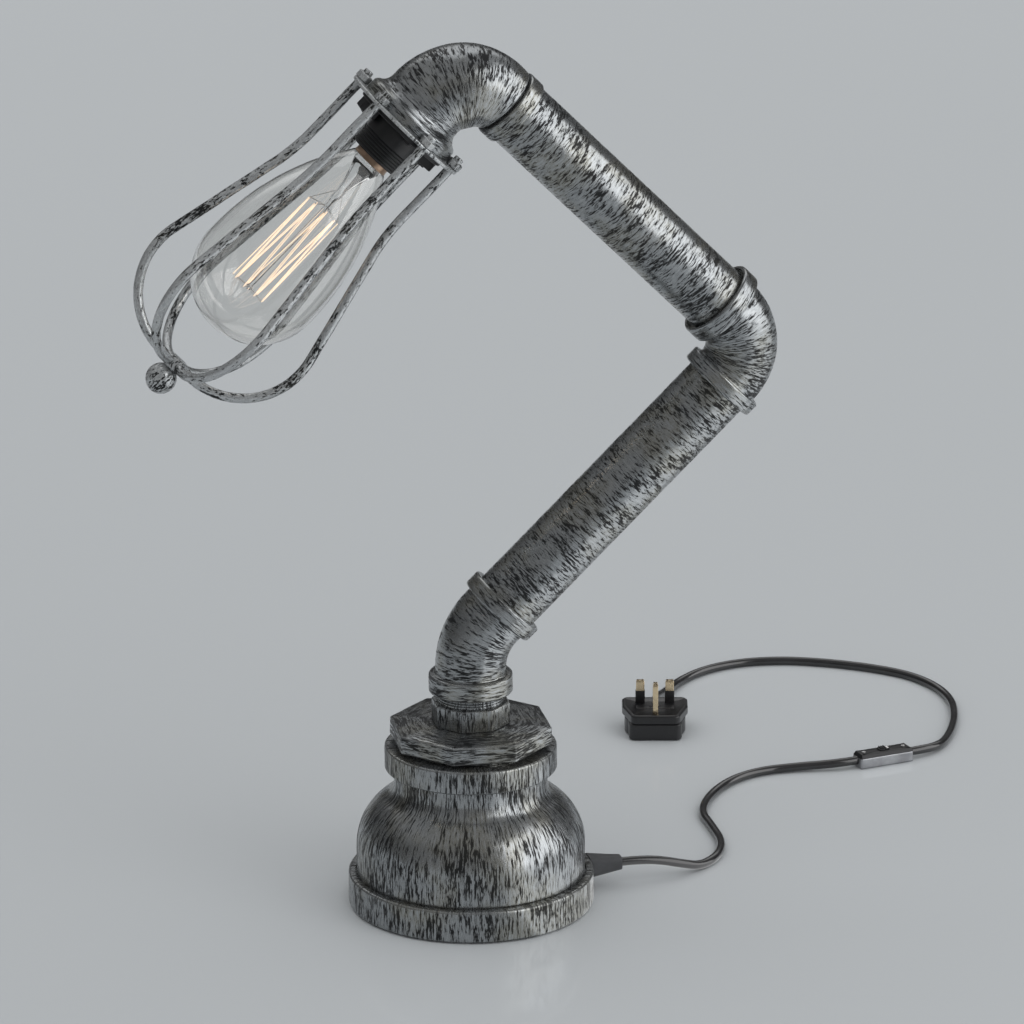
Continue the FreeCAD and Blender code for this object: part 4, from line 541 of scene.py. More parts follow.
def brush_strokes():
    """Short dry strokes of silver: three sizes of stretched noise, cut at a level that drifts in soft blotches.

    Thin is where any silver lies, Thick where the brush left most of it, Grain the strokes' height.
    """
    name = "brush_strokes"
    if name in bpy.data.node_groups:
        return bpy.data.node_groups[name]
    tree, start, end = new_group(name, [
        ("Vector", "NodeSocketVector", (0, 0, 0)),
        ("Strokes", "NodeSocketVector", (100, 100, 500)),
        ("Cover", "NodeSocketFloat", 0.5),
        ("Drift", "NodeSocketFloat", 0.3),
        ("Softness", "NodeSocketFloat", 0.08),
        ("Wander", "NodeSocketFloat", 0.003),
    ], [("Thin", "NodeSocketFloat"), ("Thick", "NodeSocketFloat"), ("Grain", "NodeSocketFloat")])
    t = Tree(tree)
    vector = start.outputs["Vector"]
    blotch = t.noise(vector, 38.0, 3.0, 0.6)
    sway = t.noise(vector, 85.0, 2.0, output="Color")
    centred = t.vector("SUBTRACT", sway, (0.5, 0.5, 0.5))
    shift = t.add("ShaderNodeVectorMath", {0: centred, "Scale": start.outputs["Wander"]}, operation="SCALE").outputs[0]
    strokes = t.vector("MULTIPLY", t.vector("ADD", vector, shift), start.outputs["Strokes"])
    broad = t.noise(t.vector("ADD", strokes, (7.3, 2.1, 5.9)), 0.45, 2.0, 0.5)
    middle = t.noise(strokes, 1.0, 3.0, 0.6)
    fine = t.noise(t.vector("ADD", strokes, (1.7, 9.2, 3.3)), 2.4, 2.0, 0.6)
    grain = t.maths("MULTIPLY_ADD", middle, 0.52, t.maths("MULTIPLY", fine, 0.30))
    grain = t.maths("MULTIPLY_ADD", broad, 0.18, grain)
    drift = t.maths("MULTIPLY", t.maths("SUBTRACT", blotch, 0.5), start.outputs["Drift"])
    level = t.maths("SUBTRACT", t.maths("SUBTRACT", 1.0, start.outputs["Cover"]), drift)
    low = t.maths("SUBTRACT", level, start.outputs["Softness"])
    high = t.maths("ADD", level, start.outputs["Softness"])
    thick = t.step(grain, t.maths("ADD", level, 0.02), t.maths("ADD", level, 0.15))
    t.fill(end, {"Thin": t.step(grain, low, high), "Thick": thick, "Grain": grain})
    return tree


def plastic_grain():
    """The fine even texture of a moulding: two sizes of noise, for its height and its gloss."""
    name = "plastic_grain"
    if name in bpy.data.node_groups:
        return bpy.data.node_groups[name]
    tree, start, end = new_group(name, [
        ("Vector", "NodeSocketVector", (0, 0, 0)),
        ("Size", "NodeSocketFloat", 1600.0),
    ], [("Height", "NodeSocketFloat"), ("Wear", "NodeSocketFloat")])
    t = Tree(tree)
    fine = t.noise(start.outputs["Vector"], start.outputs["Size"], 3.0, 0.6)
    wide = t.noise(start.outputs["Vector"], 70.0, 4.0, 0.6)
    t.fill(end, {"Height": fine, "Wear": wide})
    return tree


def new_material(name):
    material = bpy.data.materials.new(name)
    material.use_nodes = True
    tree = material.node_tree
    tree.nodes.clear()
    shader = tree.nodes.new("ShaderNodeBsdfPrincipled")
    output = tree.nodes.new("ShaderNodeOutputMaterial")
    tree.links.new(shader.outputs[0], output.inputs["Surface"])
    return material, Tree(tree), shader


def found(name):
    return bpy.data.materials.get(name)


def rgba(value):
    return (value[0], value[1], value[2], 1.0)


# The silver's strokes: how fine they are each way, how much they cover, how far the cover drifts from place to
# place, how soft their edges are, how far they wander, how much worn edges show and how pale the silver is.
SILVERED = {
    # Up and down the bell and the nipple.
    "casting_along": dict(strokes=(760, 760, 88), cover=0.516, drift=0.24, softness=0.032, wander=0.0012, worn=0.30),
    # Fine, round the elbows.
    "casting_across": dict(strokes=(105, 105, 900), cover=0.520, drift=0.28, softness=0.032, wander=0.0010, worn=0.25),
    # Long, round the octagonal bushing, with little silver on its flat top.
    "bushing_across": dict(strokes=(80, 80, 760), cover=0.490, drift=0.24, softness=0.032, wander=0.0020, worn=0.30),
    # Slanting, round the pipes.
    "pipe_across": dict(strokes=(135, 135, 760), cover=0.520, drift=0.28, softness=0.032, wander=0.0020, worn=0.30),
    # Short flecks on the cage.
    "rod_speckle": dict(strokes=(700, 700, 230), cover=0.530, drift=0.36, softness=0.030, wander=0.0020, worn=0.20,
                        pale=0.8),
}


def silvered(name):
    """Black base coat with dry-brushed silver, for the cast and tubular metal."""
    if found(name):
        return found(name)
    colours = bpy.context.scene.lamp_colours
    look = SILVERED[name]
    pale = look.get("pale", 0.0)
    material, t, shader = new_material(name)
    lay = t.add("ShaderNodeAttribute", attribute_name="lay").outputs["Vector"]
    rim = t.add("ShaderNodeAttribute", attribute_name="rim").outputs["Fac"]
    brush = t.add("ShaderNodeGroup", node_tree=brush_strokes())
    t.fill(brush, {"Vector": lay, "Strokes": look["strokes"], "Cover": look["cover"], "Drift": look["drift"],
                   "Softness": look["softness"], "Wander": look["wander"]})
    grain = brush.outputs["Grain"]
    hue = t.step(t.noise(lay, 21.0, 3.0, 0.6), 0.42, 0.62)
    dark = t.mix(hue, rgba(colours.coat), rgba(colours.coat_warm))
    silver = t.mix(hue, rgba(colours.silver), rgba(colours.silver_warm))
    if pale > 0.0:
        silver = t.mix(pale, silver, rgba(colours.pale))
    rubbed = t.maths("MULTIPLY", rim, t.step(grain, 0.40, 0.60, look["worn"] * 0.3, look["worn"]))
    thick = t.maths("MAXIMUM", brush.outputs["Thick"], rubbed)
    shown = t.maths("MAXIMUM", brush.outputs["Thin"], rubbed)
    t.fill(shader, {
        "Base Color": t.mix(thick, t.mix(shown, dark, silver), rgba(colours.bright)),
        "Metallic": t.maths("MULTIPLY_ADD", shown, 0.80 - 0.35 * pale, 0.10),
        "Roughness": t.maths("MULTIPLY_ADD", shown, -0.20, 0.44),
        "Normal": t.add("ShaderNodeBump", {"Strength": 0.5, "Distance": 0.0003, "Height": grain}).outputs[0],
        "Specular IOR Level": 0.22,
    })
    return material


def moulded(name, base, roughness, coat=0.0, size=1600.0, metallic=0.0):
    """A moulded or rolled finish with a fine grain and a slight drift of gloss."""
    if found(name):
        return found(name)
    material, t, shader = new_material(name)
    where = t.add("ShaderNodeTexCoord").outputs["Object"]
    grain = t.add("ShaderNodeGroup", {"Vector": where, "Size": size}, node_tree=plastic_grain())
    lighter = tuple(min(1.0, channel * 1.35 + 0.002) for channel in base)
    tone = t.step(grain.outputs["Wear"], 0.35, 0.7)
    bump = t.add("ShaderNodeBump", {"Strength": 0.25, "Distance": 0.00012, "Height": grain.outputs["Height"]})
    t.fill(shader, {
        "Base Color": t.mix(tone, rgba(base), rgba(lighter)),
        "Roughness": t.maths("MULTIPLY_ADD", grain.outputs["Wear"], 0.14, roughness - 0.07),
        "Normal": bump.outputs[0],
        "Metallic": metallic,
        "Coat Weight": coat,
    })
    return material


def clear_glass(name, tint):
    """Clear glass, slightly wavy as blown glass is."""
    if found(name):
        return found(name)
    material, t, shader = new_material(name)
    where = t.add("ShaderNodeTexCoord").outputs["Object"]
    wave = t.noise(where, 26.0, 2.0)
    bump = t.add("ShaderNodeBump", {"Strength": 0.10, "Distance": 0.002, "Height": wave})
    t.fill(shader, {"Normal": bump.outputs[0], "Base Color": rgba(tint), "Roughness": 0.0, "Metallic": 0.0,
                    "Transmission Weight": 1.0, "IOR": 1.46})
    return material


def glowing(name, glow, strength):
    """The heated filament: a warm light that varies a little along each strand."""
    if found(name):
        return found(name)
    material, t, shader = new_material(name)
    where = t.add("ShaderNodeTexCoord").outputs["Object"]
    flicker = t.noise(where, 300.0, 2.0)
    hot = t.mix(flicker, rgba(glow), (1.0, 0.82, 0.62, 1.0))
    t.fill(shader, {"Emission Color": hot, "Base Color": hot, "Emission Strength": strength, "Roughness": 0.5})
    return material


def black_plastic():
    return moulded("black_plastic", bpy.context.scene.lamp_colours.plastic, 0.42)


def polished_brass():
    return moulded("polished_brass", bpy.context.scene.lamp_colours.brass, 0.28, size=900.0, metallic=1.0)


def zinc():
    return moulded("zinc", (0.55, 0.55, 0.55), 0.35, size=900.0, metallic=1.0)


def cord_rubber():
    return moulded("cord_rubber", bpy.context.scene.lamp_colours.cord, 0.20, coat=0.6, size=500.0)


# Cords

CORD_TO_SWITCH = [
    (122.7, 12.8, 16.0), (139.4, 14.7, 14.0), (156.2, 17.5, 9.0), (171.9, 24.7, 3.25),
    (188.4, 41.8, 3.25), (197.7, 68.5, 3.25), (197.1, 102.3, 3.25), (195.4, 130.1, 3.25),
    (207.6, 161.4, 3.25), (229.6, 190.3, 3.25), (256.0, 206.5, 3.25), (287.0, 208.5, 3.8),
]
CORD_TO_PLUG = [
    (398.5, 230.5, 4.4), (407.9, 243.5, 3.25), (419.5, 267.5, 3.25), (429.8, 298.5, 3.25), (435.2, 331.0, 3.25),
    (431.1, 362.4, 3.25), (416.4, 391.7, 3.25), (391.0, 413.0, 3.25), (360.8, 430.6, 3.25), (328.5, 442.5, 3.25),
    (295.1, 443.8, 3.25), (264.4, 432.5, 3.25), (239.8, 410.8, 3.25), (223.3, 383.4, 5.2),
]
GLAND_EXIT = 111.0
HALF_SWITCH = 22.1
SWITCH_CORD_HEIGHT = 5.5
PLUG_BACK = 28.0
PLUG_CORD_HEIGHT = 11.0
LEAD_IN = 16.0
LEAD_OUT = 13.0


def cord_ends():
    """The points where the cord meets the gland, the switch and the plug, and those of its straight leads."""
    gland = np.array([[0.0, 0.0, GLAND_EXIT]])
    near = np.array([[-HALF_SWITCH - LEAD_IN, 0, SWITCH_CORD_HEIGHT], [-HALF_SWITCH, 0, SWITCH_CORD_HEIGHT]])
    far = np.array([[HALF_SWITCH, 0, SWITCH_CORD_HEIGHT], [HALF_SWITCH + LEAD_OUT, 0, SWITCH_CORD_HEIGHT]])
    plug = np.array([[0, PLUG_BACK + LEAD_IN, PLUG_CORD_HEIGHT], [0, PLUG_BACK, PLUG_CORD_HEIGHT]])
    return carried_to(GLAND, gland), carried_to(SWITCH, near), carried_to(SWITCH, far), carried_to(PLUG, plug)


def cord_curve(name, route, node):
    """A free cord: a smooth NURBS line whose control points are the route's points."""
    curve = bpy.data.curves.new(name, "CURVE")
    curve.dimensions = "3D"
    curve.bevel_depth = bpy.context.scene.lamp_sizes.cord_radius
    curve.bevel_resolution = 8
    curve.resolution_u = 14
    curve.use_fill_caps = True
    spline = curve.splines.new("NURBS")
    spline.points.add(len(route) - 1)
    points = np.column_stack([np.asarray(route) * METRE, np.ones(len(route))])
    spline.points.foreach_set("co", points.astype(np.float32).ravel())
    spline.order_u = 3
    spline.use_endpoint_u = True
    curve.materials.append(cord_rubber())
    piece = bpy.data.objects.new(name, curve)
    bpy.context.scene.collection.objects.link(piece)
    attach(piece, "stand")
    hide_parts(node)


# Camera

CAMERA_PLACE = (-0.8592, -4.5720, 1.8320)
CAMERA_AZIMUTH = 11.0
CAMERA_PITCH = 18.35


class LAMP_OT_camera(bpy.types.Operator):
    """Puts the camera where the lamp is looked at from"""

    bl_idname = "lamp.camera"
    bl_label = "Camera"

    def execute(self, context):
        data = bpy.data.cameras.new("camera")
        data.lens = context.scene.lamp_stage.lens
        data.sensor_width = 36.0
        data.clip_end = 60.0
        camera = bpy.data.objects.new("camera", data)
        camera.location = CAMERA_PLACE
        azimuth = math.radians(CAMERA_AZIMUTH)
        pitch = math.radians(CAMERA_PITCH)
        way = Vector((math.sin(azimuth) * math.cos(pitch), math.cos(azimuth) * math.cos(pitch), -math.sin(pitch)))
        camera.rotation_euler = way.to_track_quat("-Z", "Y").to_euler()
        context.scene.collection.objects.link(camera)
        context.scene.camera = camera
        return {"FINISHED"}


class LAMP_OT_cords(bpy.types.Operator):
    """Lays the mains cord from the base to the switch and on to the plug"""

    bl_idname = "lamp.cords"
    bl_label = "Mains cord"

    def execute(self, context):
        gland, near, far, plug = cord_ends()
        first = np.concatenate([gland, np.array(CORD_TO_SWITCH), near])
        second = np.concatenate([far, np.array(CORD_TO_PLUG), plug])
        cord_curve("mains_cord_to_switch", first, "mains_cord_1")
        cord_curve("mains_cord_to_plug", second, "mains_cord_2")
        return {"FINISHED"}


class LAMP_OT_cord_pieces(bpy.types.Operator):
    """Works out where the cord's ends lie, and does nothing more with them"""

    bl_idname = "lamp.cord_pieces"
    bl_label = "Pieces on the cord"

    def execute(self, context):
        gland, near, far, plug = cord_ends()
        return {"FINISHED"}


# Stand

SHOULDER_HEIGHT = 44.0
SHOULDER_BEND = 42.0
THROAT_BEND = 14.0
CASTING_WALL = 6.0


class LAMP_OT_base(bpy.types.Operator):
    """Makes the bell-shaped base casting"""

    bl_idname = "lamp.base"
    bl_label = "Base casting"

    def execute(self, context):
        sizes = context.scene.lamp_sizes
        uneven = 0.35
        base = mm(sizes.base_radius) - uneven
        bell = mm(sizes.bell_radius) - uneven
        neck = mm(sizes.neck_radius)
        band = mm(sizes.top_band_radius) - uneven
        shoulder = np.array([bell - SHOULDER_BEND, SHOULDER_HEIGHT])
        across = neck + THROAT_BEND - shoulder[0]
        rise = math.sqrt((SHOULDER_BEND + THROAT_BEND) ** 2 - across ** 2)
        throat = np.array([neck + THROAT_BEND, SHOULDER_HEIGHT + rise])
        meet = math.degrees(math.atan2(rise, throat[0] - shoulder[0]))
        lower = fillet([
            (bell - 6.0, 5.0, 0), (bell, 1.2, 0.3), (base, 1.2, 1.6), (base, 24.0, 2.0), (bell + 1.0, 24.0, 0.3),
            (bell + 0.4, 22.8, 0.2), (bell - 0.8, 22.8, 0.2), (bell, 25.2, 0.6), (bell, 30.0, 0),
        ], 6, closed=False)
        upper = fillet([
            (neck, 96.0, 0), (neck, 101.0, 1.6), (band, 101.0, 1.8), (band, 118.0, 1.8), (neck - 6.0, 118.0, 0.8),
            (neck - 6.0, 90.0, 0),
        ], 6, closed=False)
        outer = np.concatenate([
            lower,
            arc(shoulder, SHOULDER_BEND, 0, meet, 26),
            arc(throat, THROAT_BEND, meet + 180.0, 180.0, 14)[1:],
            upper,
        ])
        inner = np.concatenate([
            arc(throat, THROAT_BEND + CASTING_WALL, 180.0, meet + 180.0, 8),
            arc(shoulder, SHOULDER_BEND - CASTING_WALL, meet, 0, 10)[1:],
        ])
        profile = spaced(np.concatenate([outer, inner]), 2.2)
        shell = lathe(profile, around=200, size=uneven, seed=2.0, lay_radius=70.0)
        add_piece("base_casting", [shell], STAND, silvered("casting_along"), "stand", "cast_metal", "reducer_base")
        return {"FINISHED"}


class LAMP_OT_fittings(bpy.types.Operator):
    """Makes the octagonal bushing and the nipple on top of the base"""

    bl_idname = "lamp.fittings"
    bl_label = "Octagonal fittings"

    def execute(self, context):
        sizes = context.scene.lamp_sizes
        plate = polygon(8, mm(sizes.octagon_flats), 2.2, run=2.5)
        edge = spaced(fillet([(2.6, 121.0, 0), (0.0, 121.6, 1.2), (0.0, 134.0, 1.5), (3.0, 134.6, 0)], 5, closed=False),
                      2.0, closed=False)
        shells = [slab(plate, edge, inner=23.6, size=0.35, seed=3.0)]
        spigot = fillet([(47.9, 104.0, 0.5), (47.9, 121.3, 0), (23.6, 121.3, 0), (23.6, 104.0, 0.5)], 3)
        shells.append(lathe(spaced(spigot, 3.0), around=96))
        add_piece("octagonal_bushing", shells, STAND, silvered("bushing_across"), "stand", "cast_metal",
                  "octagon_bushing")

        faces = polygon(8, mm(sizes.nipple_flats), 1.4, run=2.0)
        edge = spaced(fillet([(1.5, 134.6, 0), (0.0, 135.0, 0.8), (0.0, 150.2, 1.0), (1.6, 151.0, 0)], 4, closed=False),
                      2.0, closed=False)
        shells = [slab(faces, edge, inner=16.0, size=0.15, seed=4.0)]
        thread = []
        for turn in range(9):
            low = 151.4 + turn * 1.9
            thread += [(23.5, low, 0.3), (23.5, low + 0.9, 0.3), (22.6, low + 1.4, 0.2)]
        shank = fillet([(16.0, 112.6, 0.5), (23.5, 112.6, 0.8), (23.5, 151.0, 0)] + thread
                       + [(22.6, 170.0, 0.5), (16.0, 170.0, 0.5)], 3)
        shells.append(lathe(shank, around=96))
        add_piece("octagonal_nipple", shells, STAND, silvered("casting_along"), "stand", "cast_metal", "octagon_nipple")
        return {"FINISHED"}


class LAMP_OT_cord_relief(bpy.types.Operator):
    """Makes the tapered rubber sleeve where the cord leaves the base"""

    bl_idname = "lamp.cord_relief"
    bl_label = "Strain relief"

    def execute(self, context):
        start = 86.6
        share = np.linspace(0, 1, 22)[:, None, None]
        wide = rectangle(15.5, 15.0, 3.0, run=1.5)
        narrow = rectangle(10.0, 10.0, 3.0, run=1.5)
        count = min(len(wide), len(narrow))
        wide, narrow = (line[np.linspace(0, len(line) - 1, count).round().astype(int)] for line in (wide, narrow))
        taper = wide[None] * (1 - share) + narrow[None] * share
        taper = taper * np.where((share > 0.0) & (share < 1.0), 1.0, 0.97)
        height = start + (GLAND_EXIT - start) * share[:, :, 0] * np.ones(count)
        points = np.concatenate([taper, height[..., None]], -1)
        angle = np.arctan2(points[0, :, 1], points[0, :, 0])
        bore = 3.2 * np.column_stack([np.cos(angle), np.sin(angle)])
        low = np.column_stack([bore, np.full(count, start)])[None]
        high = np.column_stack([bore, np.full(count, GLAND_EXIT)])[None]
        points = np.concatenate([low, points, high])
        shell = Shell(points, points.copy(), np.zeros(points.shape[:2]), True)
        rubber = moulded("sleeve_rubber", context.scene.lamp_colours.relief, 0.60, size=1100.0)
        rubber.node_tree.nodes["Principled BSDF"].inputs["Specular IOR Level"].default_value = 0.25
        add_piece("cord_relief", [shell], GLAND, rubber, "stand", "relief_rubber", "strain_relief")
        return {"FINISHED"}


# Arms


def elbow_profile(route, inlet, outlet, body, collar):
    """An elbow's closed profile: bead, body and bead outside, sockets and bore inside."""
    total = route.length[-1]
    low_collar, low_socket, low_depth = inlet
    high_collar, high_socket, high_depth, recess = outlet
    mouth = [(total, high_socket, 0.3)]
    if recess:
        wide, depth = recess
        mouth = [(total, wide, 0.3), (total - depth, wide, 0), (total - depth, high_socket, 0)]
    return fillet([
        (0.0, low_socket, 0.3),
        (0.0, collar, 1.5),
        (low_collar, collar, 1.5),
        (low_collar, body, 0.9),
        (total - high_collar, body, 0.9),
        (total - high_collar, collar, 1.5),
        (total, collar, 1.5),
    ] + mouth + [
        (total - high_depth, high_socket, 0),
        (total - high_depth, ELBOW_BORE, 0),
        (low_depth, ELBOW_BORE, 0),
        (low_depth, low_socket, 0),
    ], 5)


class LAMP_OT_elbows(bpy.types.Operator):
    """Makes the lower and middle elbows with their beads"""

    bl_idname = "lamp.elbows"
    bl_label = "Elbows"

    def execute(self, context):
        sizes = context.scene.lamp_sizes
        body = mm(sizes.elbow_radius)
        collar = mm(sizes.collar_radius)
        pipe = mm(sizes.pipe_radius)
        route = bent(50.0, 45.0, 38.3, 37.5)
        profile = elbow_profile(route, (13.4, 23.6, 11.9), (11.5, pipe + 0.05, 10.5, None), body, collar)
        shell = carry(spaced(profile, 2.2), route, around=112, size=0.20, seed=5.0, lay_radius=26.0)
        add_piece("elbow_low", [shell], LOWER_ELBOW, silvered("casting_across"), "lower_arm", "cast_metal",
                  "lower_elbow")
        route = bent(33.0, 90.0, 44.3, 46.4)
        profile = elbow_profile(route, (10.6, pipe + 0.1, 9.6), (12.4, pipe + 0.05, 11.4, (27.0, 5.0)), body, collar)
        shell = carry(spaced(profile, 2.2), route, around=112, size=0.20, seed=6.0, lay_radius=26.0)
        add_piece("elbow_middle", [shell], MIDDLE_ELBOW, silvered("casting_across"), "upper_arm", "cast_metal",
                  "middle_elbow")
        return {"FINISHED"}


def pipe_shell(start, end, seed):
    """A straight pipe from one distance along its own Z to another."""
    pipe = mm(bpy.context.scene.lamp_sizes.pipe_radius)
    profile = fillet([(start, PIPE_BORE, 0.3), (start, pipe, 0.6), (end, pipe, 0.6), (end, PIPE_BORE, 0.3)], 3)
    return carry(spaced(profile, 3.0), straight(0.0, 1.0), around=112, size=0.07, seed=seed)


class LAMP_OT_pipes(bpy.types.Operator):
    """Makes the two pipes and the band at the end of the upper one"""

    bl_idname = "lamp.pipes"
    bl_label = "Pipes"

    def execute(self, context):
        pipe = mm(context.scene.lamp_sizes.pipe_radius)
        add_piece("pipe_low", [pipe_shell(27.05, 255.8, 7.0)], LOWER_PIPE, silvered("pipe_across"), "lower_arm",
                  "pipe_metal", "lower_pipe")
        add_piece("pipe_high", [pipe_shell(35.05, 255.9, 8.0)], UPPER_PIPE, silvered("pipe_across"), "upper_arm",
                  "pipe_metal", "upper_pipe")
        end = UPPER_CENTRES - TOP_INLET - BAND_GAP
        profile = fillet([
            (end - 11.5, pipe + 0.05, 0), (end - 11.5, 26.2, 1.0), (end, 26.2, 1.2), (end, pipe + 0.05, 0),
        ], 5)
        shell = carry(spaced(profile, 1.5), straight(0.0, 1.0), around=112, size=0.12, seed=9.0)
        add_piece("pipe_end_band", [shell], UPPER_PIPE, silvered("pipe_across"), "upper_arm", "pipe_metal", "pipe_band")
        return {"FINISHED"}


class LAMP_OT_top_elbow(bpy.types.Operator):
    """Makes the swelling elbow that carries the lampholder and the cage"""

    bl_idname = "lamp.top_elbow"
    bl_label = "Top elbow"

    def execute(self, context):
        bend = 37.0
        route = bent(bend, 90.0, TOP_INLET, TOP_OUTLET)
        lead = TOP_INLET - bend
        sweep = bend * math.pi / 2
        total = route.length[-1]
        share = np.linspace(0, 1, 40)
        swell = np.sin(np.minimum(1.0, share / 0.6) * math.pi / 2)
        body = np.column_stack([lead + share * sweep, 25.3 + 4.2 * swell])
        shoulder = total - 10.8
        mouth = fillet([
            (shoulder - 10.0, 29.5, 0), (shoulder - 1.5, 29.7, 9.0), (shoulder + 2.2, 37.0, 4.2), (total, 37.0, 0.6),
            (total, 24.0, 0),
        ], 6, closed=False)
        spigot = 20.8
        neck = fillet([
            (lead + sweep, 21.0, 0), (lead, 21.0, 0), (-16.0, 12.0, 0), (-16.0, spigot, 0.8), (0.0, spigot, 0),
            (0.0, 25.3, 0.8), (lead * 0.9, 25.3, 0),
        ], 4, closed=False)
        inner = np.array([[lead + sweep + 1.0, 24.0]])
        profile = spaced(np.concatenate([body, mouth, inner, neck]), 2.2)
        shell = carry(profile, route, around=120, size=0.25, seed=10.0, lay_radius=28.0)
        add_piece("elbow_top", [shell], TOP_ELBOW, silvered("casting_across"), "head", "cast_metal", "top_elbow")
        return {"FINISHED"}


# Cage

WIRE_CIRCLE = 42.7
WIRE_COUNT = 6
ROD_TURN = 20.6
ROD_FLARE = 13.0
WIRE_STUD = 11.0
CAGE_REACH = 226.0
HUB_FLATS = 18.0
HUB_HEIGHT = 9.0
MOUTH_BORE = 24.0


def wire_line(cage_radius):
    """A rod's line in the plane of X and Z: a stud, an arc outwards, a flare, a quarter turn and a run to the hub."""
    flare = math.radians(ROD_FLARE)
    root = 150.0
    belly = 54.0
    centre = np.array([cage_radius - belly, CAGE_REACH - belly])
    start = centre + belly * np.array([math.cos(flare), -math.sin(flare)])
    bow = root * (1 - math.cos(flare))
    climb = (start[0] - WIRE_CIRCLE - bow) / math.tan(flare)
    root_end = np.array([WIRE_CIRCLE + bow, start[1] - climb])
    root_centre = np.array([WIRE_CIRCLE + root, root_end[1] - root * math.sin(flare)])
    stud = np.array([[WIRE_CIRCLE, -WIRE_STUD], [WIRE_CIRCLE, root_centre[1] - 0.5]])
    turn = arc(root_centre, root, 180.0, 180.0 - ROD_FLARE, 14)
    flank = np.array([root_end * 0.66 + start * 0.34, root_end * 0.34 + start * 0.66])
    quarter = arc(centre, belly, -ROD_FLARE, 90.0, 40)
    inwards = np.array([[centre[0] * 0.5 + HUB_FLATS / 4, CAGE_REACH], [HUB_FLATS / 2, CAGE_REACH]])
    line = np.concatenate([stud, turn, flank, quarter, inwards])
    return np.column_stack([line[:, 0], 0 * line[:, 0], line[:, 1]])


class LAMP_OT_cage(bpy.types.Operator):
    """Makes the cage: ring, bent rods, nuts, hub and ball"""

    bl_idname = "lamp.cage"
    bl_label = "Cage"

    def execute(self, context):
        sizes = context.scene.lamp_sizes
        wire = mm(sizes.wire_radius)
        ring = mm(sizes.ring_radius)
        outer = fillet([(MOUTH_BORE, -RING_THICKNESS, 0.2), (ring, -RING_THICKNESS, 0.7), (ring, 0.0, 0.7),
                        (MOUTH_BORE, 0.0, 0.2)], 4)
        shell = lathe(spaced(outer, 1.8), around=160, size=0.06, seed=11.0)
        add_piece("cage_plate", [shell], CAGE, silvered("rod_speckle"), "head", "cage_metal", "cage_ring")

        route = Route(wire_line(mm(sizes.cage_radius)))
        total = route.length[-1]
        section = fillet([(0.0, 0.0, 0), (0.0, wire, 0.8), (total - 0.2, wire, 0.3), (total - 0.2, 0.0, 0)], 4,
                         closed=False)
        for number in range(WIRE_COUNT):
            shell = carry(spaced(section, 1.8, closed=False), route, around=20, closed=False, size=0.13,
                          seed=12.0 + number)
            name = "cage_rod_%d" % (number + 1)
            add_piece(name, [moved(shell, turn=ROD_TURN + 360.0 / WIRE_COUNT * number)], CAGE, silvered("rod_speckle"),
                      "head", "cage_metal", "cage_wire_%d" % (number + 1))

        nuts = []
        outline = polygon(6, 10.0, 0.8, run=1.5, turn=math.radians(30))
        edge = fillet([(1.0, -8.0, 0), (0.0, -7.4, 0.4), (0.0, -3.1, 0.4), (0.9, -2.52, 0)], 4, closed=False)
        for number in range(WIRE_COUNT):
            angle = math.radians(ROD_TURN) + TURN / WIRE_COUNT * number
            nut = slab(outline, edge, inner=wire + 0.05, size=0.12, seed=20.0 + number)
            place = (WIRE_CIRCLE * math.cos(angle), WIRE_CIRCLE * math.sin(angle), 0.0)
            nuts.append(moved(nut, place, math.degrees(angle) + 4.0 * (number % 3)))
        add_piece("cage_rod_nuts", nuts, CAGE, silvered("rod_speckle"), "head", "cage_metal", "cage_nuts")

        bottom = CAGE_REACH - HUB_HEIGHT / 2
        outline = polygon(6, HUB_FLATS, 1.6, run=1.5, turn=math.radians(30))
        edge = fillet([(1.6, bottom, 0), (0.0, bottom + 0.9, 0.8), (0.0, bottom + HUB_HEIGHT - 0.9, 0.8),
                       (1.6, bottom + HUB_HEIGHT, 0)], 5, closed=False)
        boss = slab(outline, spaced(edge, 1.2, closed=False), size=0.2, seed=30.0)
        add_piece("cage_boss", [moved(boss, turn=ROD_TURN)], CAGE, silvered("rod_speckle"), "head", "cage_metal",
                  "cage_hub")

        ball = mm(sizes.knob_radius)
        seat = CAGE_REACH + HUB_HEIGHT / 2
        centre = seat + math.sqrt(ball ** 2 - 25.0)
        flat = math.degrees(math.asin(5.0 / ball))
        curve = arc((0.0, centre), ball, flat - 90.0, 90.0, 30)
        profile = np.concatenate([[[0.0, seat]], curve])
        shell = lathe(profile, around=48, closed=False, size=0.12, seed=31.0)
        add_piece("cage_ball", [shell], CAGE, silvered("rod_speckle"), "head", "cage_metal", "cage_knob")
        return {"FINISHED"}


# Lampholder and bulb

HOLDER_SEAT = 3.5
SKIRT_START = 16.5
SKIRT_END = 29.5
GLASS_START = 34.0
HOLDER_RADIUS = 19.0
HOLDER_BORE = 15.0
FLANK_BEND = 184.0
BULB_NECK = 13.9
BULB_SHOULDER = 109.0
STEM_LENGTH = 42.0
FILAMENT_TOP = GLASS_START + 45.0
FILAMENT_LOW = FILAMENT_TOP + 76.0


def block(width, depth, bottom, top, corner, bevel):
    """A block with rounded corners and bevelled ends."""
    edge = fillet([(bevel, bottom, 0), (0.0, bottom + bevel * 0.4, bevel * 0.5), (0.0, top - bevel * 0.4, bevel * 0.5),
                   (bevel, top, 0)], 4, closed=False)
    return slab(rectangle(width, depth, corner, run=2.0), edge)


